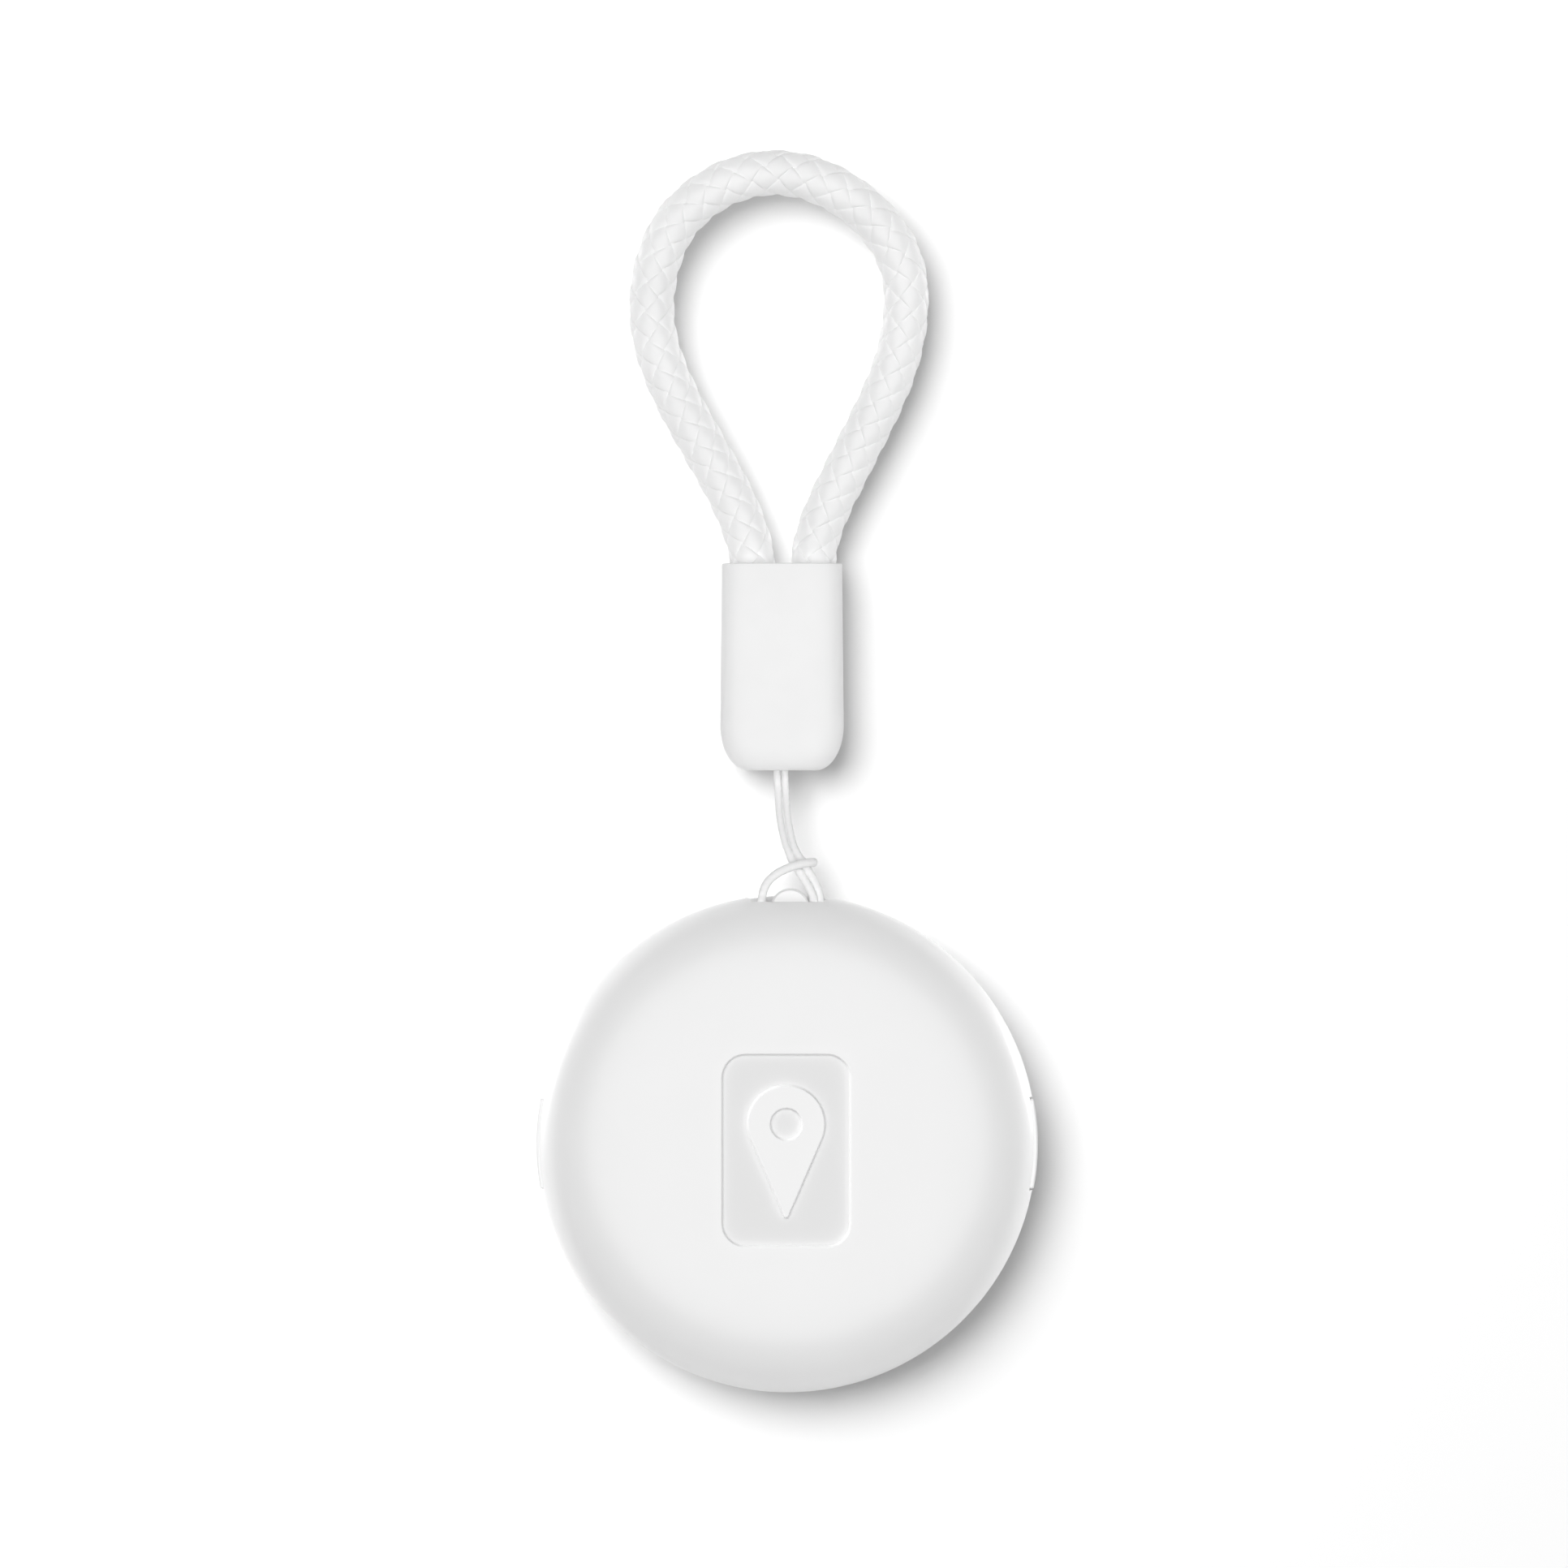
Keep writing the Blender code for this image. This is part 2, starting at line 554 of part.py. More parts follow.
def make_rear_cover(look):
    outer = [(0, 0), *dish_profile(FLAT_RADIUS, 0, CASE_RADIUS, REAR_RIM_Z, 8)]
    inner = dish_profile(FLAT_RADIUS - WALL / 2, WALL, CASE_RADIUS - WALL, REAR_RIM_Z, 7)
    cover = turned("rear_cover", outer + inner[::-1] + [(0, WALL)], look, CASE_STEPS)

    # Floor and walls of the string pocket, then the pillar.
    half = WALL / 2
    solid = rod(
        "pocket_block_rear", PILLAR_CENTRE, POCKET_BLOCK_RADIUS, half / 2, REAR_RIM_Z - SEAT, steps=32
    )
    dish = [(0, half), *dish_profile(FLAT_RADIUS, half, CASE_RADIUS - half, REAR_RIM_Z, 8), (0, REAR_RIM_Z)]
    boolean(solid, turned("dish_solid", dish, steps=CASE_STEPS), "INTERSECT")
    boolean(cover, solid, "UNION")
    boolean(cover, rod("pocket_rear", PILLAR_CENTRE, POCKET_RADIUS, POCKET_FLOOR, CASE_HEIGHT, steps=32))
    boolean(cover, notch_tool("notch_rear", POCKET_FLOOR + SEAT, CASE_HEIGHT), solver="MANIFOLD")
    pillar = rod("pillar", PILLAR_CENTRE, PILLAR_RADIUS, POCKET_FLOOR - MM, PILLAR_TOP, steps=24)
    boolean(cover, pillar, "UNION", "MANIFOLD")

    for number, centre in enumerate(BOSS_CENTRES, 1):
        boss = rod(f"boss_{number}", centre, BOSS_RADIUS, half, BOARD_Z[0] - GAP, steps=20)
        boolean(cover, boss, "UNION", "MANIFOLD")
    for number, centre in enumerate(BOSS_CENTRES, 1):
        hole = rod(
            f"boss_hole_{number}", centre, SCREW_HOLE_RADIUS, SCREW_HOLE_FLOOR, BOARD_Z[0] + MM, steps=14
        )
        boolean(cover, hole, solver="MANIFOLD")
    boolean(cover, button_opening("button_opening_rear"), solver="MANIFOLD")
    for number in range(SOUND_HOLE_COUNT):
        angle = -math.pi / 2 + (number - (SOUND_HOLE_COUNT - 1) / 2) * SOUND_HOLE_STEP
        centre = (SOUND_HOLE_RING * math.cos(angle), SOUND_HOLE_RING * math.sin(angle))
        hole = rod(f"sound_hole_{number}", centre, SOUND_HOLE_RADIUS, -MM, 2 * WALL, steps=12)
        boolean(cover, hole, solver="MANIFOLD")
    return cover


def make_side_button(look):
    """The key's outside follows the rim, and its flange keeps it in the case."""
    overlap = 0.1 * MM
    face = ring_sector(FLANGE_X[0] + 2 * overlap, BUTTON_FACE, BUTTON_LENGTH / 2, 0.0, 10)
    button = prism("side_button", face, BUTTON_BOTTOM, BUTTON_TOP, look, smooth=True)
    depth = FLANGE_X[1] - FLANGE_X[0]
    centre = ((FLANGE_X[0] + FLANGE_X[1]) / 2, 0.0)
    behind = CASE_RADIUS / 2
    trim = block(
        "button_trim", (FLANGE_X[0] + overlap - behind / 2, 0.0), (behind, CASE_RADIUS, CASE_HEIGHT), 0.0
    )
    boolean(button, trim)
    step_depth = 1.6 * MM
    under = block(
        "button_under", centre, (step_depth, CASE_RADIUS, FLANGE_Z[0] - BUTTON_BOTTOM + MM),
        BUTTON_BOTTOM - MM,
    )
    boolean(button, under)
    flange = block("button_flange", centre, (depth, FLANGE_LENGTH, FLANGE_Z[1] - FLANGE_Z[0]), FLANGE_Z[0])
    boolean(button, flange, "UNION")
    return button


# ---------------------------------------------------------------- board and what is on it

def make_board(looks):
    flat_angle = math.asin(BOARD_FLAT_Y / BOARD_RADIUS)
    outline = arc((0, 0), BOARD_RADIUS, math.pi - flat_angle, math.tau + flat_angle, 54)
    board = prism("circuit_board", outline, *BOARD_Z, looks["board"])
    for number, centre in enumerate(BOSS_CENTRES, 1):
        boolean(board, rod(f"board_hole_{number}", centre, BOARD_HOLE_RADIUS, 0, CASE_HEIGHT, steps=14))
        make_screw(f"board_screw_{number}", centre, looks["steel"])


def make_screw(name, centre, look):
    """A pan-head screw with a cross recess."""
    seat = BOARD_Z[1] + GAP
    top = seat + SCREW_HEAD_HEIGHT
    edge = 0.3 * MM
    profile = [
        (0, top), (SCREW_HEAD_RADIUS - 0.35 * MM, top), (SCREW_HEAD_RADIUS, seat + edge),
        (SCREW_HEAD_RADIUS, seat), (SCREW_RADIUS, seat), (SCREW_RADIUS, SCREW_TIP_Z + edge),
        (SCREW_RADIUS - edge, SCREW_TIP_Z), (0, SCREW_TIP_Z),
    ]
    screw = turned(name, profile, look, 14, centre)
    slot_depth = SCREW_HEAD_HEIGHT / 2
    slot_size = (1.3 * MM, 0.32 * MM, 2 * slot_depth)
    for turn in (20, 110):
        slot = block(f"{name}_slot_{turn}", centre, slot_size, top - slot_depth, angle=math.radians(turn))
        boolean(screw, slot)


def make_cell(looks):
    """A coin cell: its can over, its cap under, a gasket between them, and what is inside as one block."""
    low, high = CELL_Z
    edge = 0.3 * MM
    can_inner = CELL_RADIUS - CAN_WALL
    can = [
        (0, high), (CELL_RADIUS - edge, high), (CELL_RADIUS, high - edge),
        (CELL_RADIUS, low + 0.55 * MM), (CAP_RADIUS + 0.62 * MM, low + 0.22 * MM),
        (CAP_RADIUS + 0.5 * MM, low + 0.42 * MM), (can_inner, low + 0.75 * MM),
        (can_inner, high - CAN_WALL), (0, high - CAN_WALL),
    ]
    turned("battery_can", can, looks["steel"], 48, CELL_CENTRE)

    gasket_foot = CAP_RADIUS + 0.1 * MM
    gasket_wall = (can_inner - 0.1 * MM, can_inner - 0.4 * MM)
    gasket = [
        (gasket_foot, low + edge), (gasket_foot + edge, low + edge),
        (gasket_wall[0], low + 0.85 * MM), (gasket_wall[0], low + GASKET_TOP),
        (gasket_wall[1], low + GASKET_TOP), (gasket_wall[1], low + 0.95 * MM),
    ]
    turned("battery_gasket", gasket, looks["black"], 36, CELL_CENTRE)

    cap_edge = 0.5 * MM
    cap_inner = CAP_RADIUS - CAN_WALL
    cap = [
        (0, low), (CAP_RADIUS - cap_edge, low), (CAP_RADIUS, low + 0.4 * MM), (CAP_RADIUS, low + CAP_HEIGHT),
        (cap_inner, low + CAP_HEIGHT), (cap_inner, low + 0.55 * MM),
        (CAP_RADIUS - 0.6 * MM, low + CAN_WALL), (0, low + CAN_WALL),
    ]
    turned("battery_cap", cap, looks["steel"], 40, CELL_CENTRE)

    clear = 0.1 * MM
    core_radius = cap_inner - 1.5 * clear
    core = [
        (0, low + CAN_WALL + clear), (core_radius - cap_edge, low + CAN_WALL + clear),
        (core_radius, low + 0.75 * MM), (core_radius, high - CAN_WALL - clear),
        (0, high - CAN_WALL - clear),
    ]
    turned("battery_electrodes", core, looks["core"], 36, CELL_CENTRE)


def make_holder(looks):
    base = PART_Z
    wall_low = base + HOLDER_FLOOR
    profile = [
        (HOLDER_OPENING, base), (HOLDER_OUTER, base), (HOLDER_OUTER, HOLDER_TOP), (HOLDER_INNER, HOLDER_TOP),
        (HOLDER_INNER, wall_low), (HOLDER_OPENING, wall_low),
    ]
    holder = turned("battery_holder", profile, looks["black"], 48, CELL_CENTRE)
    reach = 11.0 * MM
    for number, (angle, width) in enumerate(HOLDER_GAPS):
        centre = (CELL_CENTRE[0] + reach * math.cos(angle), CELL_CENTRE[1] + reach * math.sin(angle))
        gap = block(f"holder_gap_{number}", centre, (5.6 * MM, width, 4 * MM), wall_low, angle=angle)
        boolean(holder, gap)

    # The clip stands on the board, runs up past the can and presses on its top.
    out = HOLDER_OUTER + 0.3 * MM
    top = CELL_Z[1] + 0.1 * MM
    foot = out + 1.6 * MM
    clip = [
        (foot, base), (foot, base + CLIP_SHEET), (out + CLIP_SHEET, base + CLIP_SHEET),
        (out + CLIP_SHEET, top + CLIP_SHEET), (8.6 * MM, top + CLIP_SHEET),
        (7.4 * MM, top + 2 * CLIP_SHEET), (7.2 * MM, top + CLIP_SHEET), (8.5 * MM, top), (out, top),
        (out, base),
    ]
    strip("battery_positive_clip", clip, CLIP_WIDTH, looks["steel"], CELL_CENTRE)

    # The leaf lies on the board and rises to the cap.
    spring = [
        (-6 * MM, base), (5.5 * MM, base), (5.5 * MM, base + SPRING_SHEET), (-2 * MM, base + SPRING_SHEET),
        (-5 * MM, CELL_Z[0] - GAP), (-6 * MM, CELL_Z[0] - GAP),
    ]
    strip("battery_negative_spring", spring, SPRING_WIDTH, looks["steel"], CELL_CENTRE, math.radians(35))


def make_switch(looks):
    """A side-push switch: its body has a pocket in which the plunger slides."""
    middle = (sum(SWITCH_X) / 2, 0.0)
    body_size = (SWITCH_X[1] - SWITCH_X[0], SWITCH_LENGTH, SWITCH_HEIGHT)
    body = block("switch_body", middle, body_size, PART_Z, looks["black"])
    clear = 0.1 * MM
    width, height = PLUNGER_SIZE
    plunger_z = (FLANGE_Z[0] + FLANGE_Z[1]) / 2 - height / 2
    pocket = block(
        "plunger_pocket", (SWITCH_X[1], 0.0),
        (2 * (SWITCH_X[1] - SWITCH_POCKET_X), width + 2 * clear, height + 2 * clear), plunger_z - clear,
    )
    boolean(body, pocket)
    end = FLANGE_X[0] - GAP
    block(
        "switch_plunger", ((PLUNGER_X + end) / 2, 0.0), (end - PLUNGER_X, width, height), plunger_z,
        looks["inner"], bevel=clear,
    )
    top = PART_Z + SWITCH_HEIGHT + GAP
    side = SWITCH_LENGTH / 2 + GAP
    foot = PART_Z + 0.3 * MM
    frame = [
        (-side - FRAME_SHEET, foot), (-side, foot), (-side, top), (side, top), (side, foot),
        (side + FRAME_SHEET, foot), (side + FRAME_SHEET, top + FRAME_SHEET),
        (-side - FRAME_SHEET, top + FRAME_SHEET),
    ]
    strip("switch_frame", frame, body_size[0] - 2 * clear, looks["steel"], middle, math.pi / 2)


def make_board_parts(looks):
    for name, place, size, turn, look in BOARD_PARTS:
        centre = (place[0] * MM, place[1] * MM)
        block(name, centre, [side * MM for side in size], PART_Z, looks[look], CHIP_EDGE, math.radians(turn))


def make_sounder(looks):
    """A brass plate on an adhesive ring, a ceramic disc on the plate, and a spring contact on each."""
    clear = 0.03 * MM
    outer = PIEZO_PLATE_RADIUS - 0.1 * MM
    inner = outer - ADHESIVE_WIDTH
    ring = [
        (inner, WALL + clear), (outer, WALL + clear), (outer, PIEZO_PLATE_Z - clear),
        (inner, PIEZO_PLATE_Z - clear),
    ]
    turned("piezo_adhesive", ring, looks["inner"], 36, PIEZO_CENTRE)
    plate_top = PIEZO_PLATE_Z + PIEZO_PLATE_SHEET
    rod("piezo_plate", PIEZO_CENTRE, PIEZO_PLATE_RADIUS, PIEZO_PLATE_Z, plate_top, 44, looks["brass"])
    ceramic_top = PIEZO_CERAMIC_Z + PIEZO_CERAMIC_SHEET
    rod("piezo_ceramic", PIEZO_CENTRE, PIEZO_CERAMIC_RADIUS, PIEZO_CERAMIC_Z, ceramic_top, 36,
        looks["ceramic"])
    under = BOARD_Z[0] - GAP
    for number, (offset, top) in enumerate(zip(CONTACT_PLACES, (ceramic_top, plate_top)), 1):
        rest = top + clear
        leaf = [
            (-1.5 * MM, under), (-1.5 * MM, under - CONTACT_SHEET), (-0.4 * MM, under - CONTACT_SHEET),
            (0.9 * MM, rest), (1.6 * MM, rest), (1.6 * MM, rest + CONTACT_SHEET),
            (1.0 * MM, rest + CONTACT_SHEET), (-0.3 * MM, under),
        ]
        centre = (PIEZO_CENTRE[0] - offset, PIEZO_CENTRE[1])
        strip(f"piezo_spring_{number}", leaf, CONTACT_WIDTH, looks["brass"], centre, math.radians(90))


# ---------------------------------------------------------------- lanyard

def section(half_width, half_depth, y, steps=24):
    """A superellipse across the sleeve at y."""
    points = []
    for i in range(steps):
        angle = math.tau * i / steps
        power = 2 / SLEEVE_SQUARENESS
        x = half_width * math.copysign(abs(math.cos(angle)) ** power, math.cos(angle))
        z = half_depth * math.copysign(abs(math.sin(angle)) ** power, math.sin(angle))
        points.append((SLEEVE_CENTRE[0] + x, y, SLEEVE_CENTRE[1] + z))
    return points


def sleeve_section(y):
    """The sleeve's outside at y: rounded off towards the string end, narrower at the braid end."""
    start, end = SLEEVE_Y
    share = (y - start) / (end - start)
    half_width = SLEEVE_HALF_WIDTH[0] + (SLEEVE_HALF_WIDTH[1] - SLEEVE_HALF_WIDTH[0]) * share
    half_depth = SLEEVE_HALF_DEPTH
    corner_x, corner_y = SLEEVE_CORNER
    if y < start + corner_y:
        drop = 1 - math.sqrt(max(0.0, 1 - ((start + corner_y - y) / corner_y) ** 2))
        half_width -= corner_x * drop
        half_depth -= SLEEVE_DROP * drop
    return section(half_width, half_depth, y)


def loft(name, rings, look):
    """One closed skin over rings of equally many points, its two ends capped."""
    bm = bmesh.new()
    made = [[bm.verts.new(point) for point in ring] for ring in rings]
    for a, b in zip(made, made[1:]):
        for i in range(len(a)):
            j = (i + 1) % len(a)
            bm.faces.new((a[i], a[j], b[j], b[i]))
    bm.faces.new(made[0])
    bm.faces.new(made[-1])
    return object_from(bm, name, look, smooth=True)


def make_sleeve(looks):
    start, end = SLEEVE_Y
    corner_y = SLEEVE_CORNER[1]
    stations = [start + corner_y * (1 - math.cos(math.pi / 2 * i / 6)) for i in range(7)] + [end]
    rings = [sleeve_section(y) for y in stations]
    cavity_x, cavity_z = SLEEVE_CAVITY
    rings += [section(cavity_x, cavity_z, end), section(cavity_x, cavity_z, SLEEVE_FLOOR_Y + 1.5 * MM),
              section(cavity_x - 1.0 * MM, cavity_z - 0.4 * MM, SLEEVE_FLOOR_Y)]
    sleeve = loft("ferrule_sleeve", rings, looks["shell"])
    hole = block("string_hole", STRING_HOLE_CENTRE, STRING_HOLE_SIZE, STRING_HOLE_LOW, bevel=0.2 * MM)
    boolean(sleeve, hole)


def make_collar(looks):
    """The metal band inside the sleeve that grips both ends of the braid."""
    low, high = COLLAR_Y
    outside = [side - COLLAR_GAP for side in SLEEVE_CAVITY]
    inside = [side - COLLAR_SHEET for side in outside]
    bm = bmesh.new()
    rings = [section(*outside, low), section(*outside, high), section(*inside, high), section(*inside, low)]
    made = [[bm.verts.new(point) for point in ring] for ring in rings]
    for a, b in zip(made, made[1:] + made[:1]):
        for i in range(len(a)):
            j = (i + 1) % len(a)
            bm.faces.new((a[i], a[j], b[j], b[i]))
    object_from(bm, "crimp_collar", looks["steel"], smooth=True)


def make_knot(looks):
    """The overhand knot that keeps the string's two ends in the sleeve, as one lumpy ball."""
    bm = bmesh.new()
    bmesh.ops.create_icosphere(bm, subdivisions=2, radius=1.0)
    for vert in bm.verts:
        turn = math.atan2(vert.co.z, vert.co.x)
        bulge = 1 + 0.12 * math.cos(3 * turn + 5 * vert.co.y)
        vert.co = Vector((vert.co.x * bulge, vert.co.y, vert.co.z * bulge)) * Vector(KNOT_SIZE)
    bmesh.ops.translate(bm, verts=bm.verts, vec=KNOT_CENTRE)
    object_from(bm, "string_knot", looks["string"], smooth=True)


def make_cords(looks):
    """The string's hitch round the pillar, its two strands up to the sleeve, and the braid."""
    tube("cord_hitch", smooth_line(HITCH_ROUTE, HITCH_SPACING), STRING_DIAMETER, looks["string"])
    for name, side in (("cord_lead_left", -STRING_SIDE), ("cord_lead_right", STRING_SIDE)):
        route = [(x + side / MM, y, z) for x, y, z in LEAD_ROUTE]
        tube(name, smooth_line(route, LEAD_SPACING), STRING_DIAMETER, looks["string"])
    tube("braided_loop", smooth_line(BRAID_ROUTE, BRAID_SPACING), BRAID_DIAMETER, looks["braid"])


def pivot(name, place, children, parent=None):
    """An empty on a joint's axis that carries the pieces that move with it."""
    empty = bpy.data.objects.new(name, None)
    bpy.context.scene.collection.objects.link(empty)
    empty.parent = parent
    empty.location = Vector(place) - (Vector(parent.location) if parent else Vector())
    for child in children:
        obj = bpy.data.objects[child]
        obj.parent = empty
        obj.matrix_parent_inverse = Matrix.Translation(-Vector(place))
    return empty


def make_pivots():
    button_z = (BUTTON_BOTTOM + BUTTON_TOP) / 2
    pivot("cover_axis", (0, 0, FRONT_RIM_Z), ["front_cover"])
    pivot("button_axis", (BUTTON_FACE, 0, button_z), ["side_button"])
    pivot("plunger_axis", (FLANGE_X[0], 0, button_z), ["switch_plunger"])
    swing = pivot("swing_axis", (*PILLAR_CENTRE, POCKET_FLOOR), ["cord_hitch"])
    lanyard = [
        "cord_lead_left", "cord_lead_right", "ferrule_sleeve", "crimp_collar", "string_knot", "braided_loop",
    ]
    pivot("fold_axis", FOLD_PIVOT, lanyard, parent=swing)


def main():
    clear_scene()
    looks = make_looks()
    make_rear_cover(looks["shell"])
    make_front_cover(looks["shell"])
    make_side_button(looks["shell"])
    make_board(looks)
    make_cell(looks)
    make_holder(looks)
    make_switch(looks)
    make_board_parts(looks)
    make_sounder(looks)
    make_sleeve(looks)
    make_collar(looks)
    make_knot(looks)
    make_cords(looks)
    make_pivots()


main()
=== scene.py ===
"""Looks of the Bluetooth tracker tag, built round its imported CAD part.

Metres in the row frame: +Z out of the domed front, +Y from the case towards the braided loop, the side
button at +X. Millimetres are written with MM.
"""

import math

import bmesh
import bpy
import numpy as np
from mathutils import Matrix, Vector
from mathutils.geometry import delaunay_2d_cdt


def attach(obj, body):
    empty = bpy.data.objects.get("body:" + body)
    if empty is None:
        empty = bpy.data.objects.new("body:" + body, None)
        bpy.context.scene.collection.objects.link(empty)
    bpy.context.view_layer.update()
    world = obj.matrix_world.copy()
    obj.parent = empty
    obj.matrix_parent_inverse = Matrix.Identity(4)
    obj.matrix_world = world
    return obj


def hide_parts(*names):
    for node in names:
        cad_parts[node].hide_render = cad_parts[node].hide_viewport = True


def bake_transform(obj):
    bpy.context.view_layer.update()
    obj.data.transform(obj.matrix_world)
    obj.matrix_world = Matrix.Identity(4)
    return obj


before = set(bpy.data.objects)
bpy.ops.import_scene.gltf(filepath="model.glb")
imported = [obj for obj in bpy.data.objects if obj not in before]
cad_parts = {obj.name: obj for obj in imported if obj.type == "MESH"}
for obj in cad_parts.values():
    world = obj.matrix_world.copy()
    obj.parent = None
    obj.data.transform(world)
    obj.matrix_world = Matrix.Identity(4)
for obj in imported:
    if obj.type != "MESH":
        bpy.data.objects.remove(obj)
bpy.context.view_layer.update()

MM = 0.001

# ---- sizes, the same as the part's

CASE_RADIUS = 20.0
CASE_HEIGHT = 9.0
WALL = 1.2
REAR_RIM_Z = 4.1
FRONT_RIM_Z = 4.3
FLAT_RADIUS = 14.0  # of the rear
DOME_POWER = 3.0
FACE_FLAT = 0.53  # share of the radius that is flat, on the outside
FACE_POWER = 2.2
SKIRT_INNER = 17.8
SKIRT_OUTER = 18.5
SKIRT_BOTTOM = 3.4
SKIRT_EDGE = 0.08

PANEL_SIZE = (10.2, 15.3)
PANEL_CENTRE = (-0.1, -0.4)
PANEL_CORNER = 1.85
PANEL_DEPTH = 0.36
PIN_RADIUS = 3.1
PIN_EYE_RADIUS = 1.25
PIN_TIP_RADIUS = 0.2
PIN_HEAD_Y = 1.7
PIN_TIP_Y = -6.1

PILLAR_CENTRE = (0.2, 18.9)
PILLAR_RADIUS = 1.55
PILLAR_TOP = 5.15
POCKET_RADIUS = 3.1
POCKET_FLOOR = 3.2
POCKET_ROOF = 5.25
POCKET_BLOCK_RADIUS = 3.9
NOTCH_Y = 19.4
NOTCH_HALF = 2.85
NOTCH_SLANT = 1.05

BUTTON_LENGTH = 7.2
BUTTON_BOTTOM = 3.1
BUTTON_TOP = 5.3
BUTTON_FACE = 20.08
BUTTON_GAP = 0.15
FLANGE_LENGTH = 8.6
FLANGE_X = (17.2, 17.85)
FLANGE_Z = (3.45, 4.75)
FLANGE_ROOM = 0.3
BUTTON_TRAVEL = 0.35
LIP_RADIUS = 20.15
LIP_LENGTH = 7.2
LIP_TOP = 5.1

BOSS_CENTRES = ((8.5, 12.8), (-13.2, 7.6), (1.5, -15.2))
BOSS_RADIUS = 1.7
BOSS_TOP = 2.25
SCREW_HOLE_RADIUS = 0.62
SCREW_HOLE_FLOOR = 0.75
SOUND_HOLE_RADIUS = 0.45
SOUND_HOLE_RING = 6.0
SOUND_HOLE_COUNT = 5
SOUND_HOLE_STEP = math.radians(15)

SLEEVE_CENTRE = (-0.45, 2.7)
SLEEVE_Y = (29.95, 46.58)
SLEEVE_HALF_WIDTH = (5.02, 4.85)
SLEEVE_HALF_DEPTH = 2.7
SLEEVE_CORNER = (2.3, 3.7)
SLEEVE_CAVITY = (4.42, 2.08)
SLEEVE_FLOOR_Y = 32.2
SLEEVE_DROP = 1.1
SLEEVE_SQUARENESS = 4.0
STRING_HOLE = ((-1.37, 0.33), (2.2, 3.2))
KNOT_CENTRE = (-0.5, 33.9, 2.7)
KNOT_SCALE = (0.42, 0.45, 0.5)

STRING_DIAMETER = 0.59
SLACK_DIAMETER = 0.70
SLACK_EASE = 0.9  # length in which one diameter becomes the other
STRING_SIDE = 0.31
FOLD_PIVOT = (0.44, 23.2, 4.04)
LEAD_ROUTE = [
    (-0.5, 31.6, 2.7), (-0.53, 29.95, 2.72), (-0.43, 27.9, 3.08), (-0.28, 25.98, 3.5),
    (0.11, 24.15, 3.88), (0.37, 23.5, 4.0),
]
HITCH_ROUTE = [
    (0.4, 22.68, 4.1), (0.76, 22.12, 4.12), (1.28, 21.3, 4.22), (1.8, 20.4, 4.3),
    (2.08, 19.4, 4.38), (1.95, 18.0, 4.46), (1.1, 17.0, 4.52), (0.1, 16.72, 4.54),
    (-0.95, 17.05, 4.56), (-1.8, 17.95, 4.58), (-2.04, 19.0, 4.61), (-2.0, 20.0, 4.66),
    (-1.66, 20.88, 4.74), (-1.05, 21.5, 4.8), (-0.35, 21.92, 4.84), (0.6, 22.3, 4.86),
    (1.4, 22.5, 4.8), (1.93, 22.56, 4.55), (2.09, 22.56, 4.12), (1.93, 22.56, 3.69),
    (1.4, 22.5, 3.44), (0.6, 22.3, 3.38), (-0.35, 21.92, 3.4), (-1.05, 21.5, 3.46),
    (-1.66, 20.88, 3.58), (-2.0, 20.0, 3.72), (-2.04, 19.0, 3.82), (-1.8, 17.95, 3.88),
    (-0.95, 17.05, 3.88), (0.1, 16.72, 3.88), (1.3, 16.96, 3.88), (2.24, 17.82, 3.89),
    (2.58, 18.9, 3.92), (2.6, 19.6, 3.96), (2.44, 20.4, 4.0), (2.1, 21.15, 4.04),
    (1.62, 21.95, 4.09), (1.16, 22.7, 4.12), (0.98, 22.92, 4.1),
]
BRAID_WIDTH = 3.6  # over the strips' edges
BRAID_ROUTE = [
    (-2.6, 36.5, 2.7), (-2.62, 40.0, 2.7), (-2.66, 43.6, 2.7), (-2.8, 46.6, 2.7),
    (-3.2, 48.6, 2.71), (-4.08, 51.0, 2.73), (-5.32, 53.5, 2.77), (-6.9, 56.3, 2.81),
    (-8.52, 59.2, 2.86), (-9.82, 62.0, 2.92), (-10.66, 64.7, 3.0), (-10.92, 67.5, 3.08),
    (-10.48, 70.6, 3.21), (-9.32, 73.4, 3.33), (-7.64, 75.4, 3.44), (-5.4, 76.95, 3.54),
    (-3.0, 77.78, 3.59), (-0.72, 77.98, 3.6), (1.9, 77.52, 3.57), (4.6, 76.22, 3.49),
    (7.05, 74.2, 3.37), (8.66, 71.9, 3.27), (9.4, 69.6, 3.17), (9.52, 67.1, 3.07),
    (9.2, 64.6, 3.0), (8.48, 62.0, 2.92), (7.3, 59.2, 2.86), (5.86, 56.3, 2.81),
    (4.5, 53.6, 2.77), (3.32, 51.2, 2.74), (2.44, 48.8, 2.71), (2.08, 46.6, 2.7),
    (1.94, 43.6, 2.7), (1.9, 40.0, 2.7), (1.88, 36.5, 2.7),
]

# ---- camera

LENS = 200.0
SENSOR = 36.0
VIEW_WIDTH = 125.95
VIEW_CENTRE = (-0.28, 28.85, 4.2)


def make_camera():
    """Straight above the object, its top towards +Y, far enough away to look nearly flat."""
    data = bpy.data.cameras.new("camera")
    data.lens = LENS
    data.sensor_width = SENSOR
    data.clip_start = 0.05
    data.clip_end = 20.0
    camera = link(bpy.data.objects.new("camera", data))
    x, y, z = VIEW_CENTRE
    camera.location = Vector((x, y, z + VIEW_WIDTH * LENS / SENSOR)) * MM
    bpy.context.scene.camera = camera
    bpy.context.scene.view_settings.view_transform = "Standard"


# ---- mesh helpers

CORNERS = ((-1, -1), (1, -1), (1, 1), (-1, 1))


def link(obj):
    bpy.context.scene.collection.objects.link(obj)
    return obj


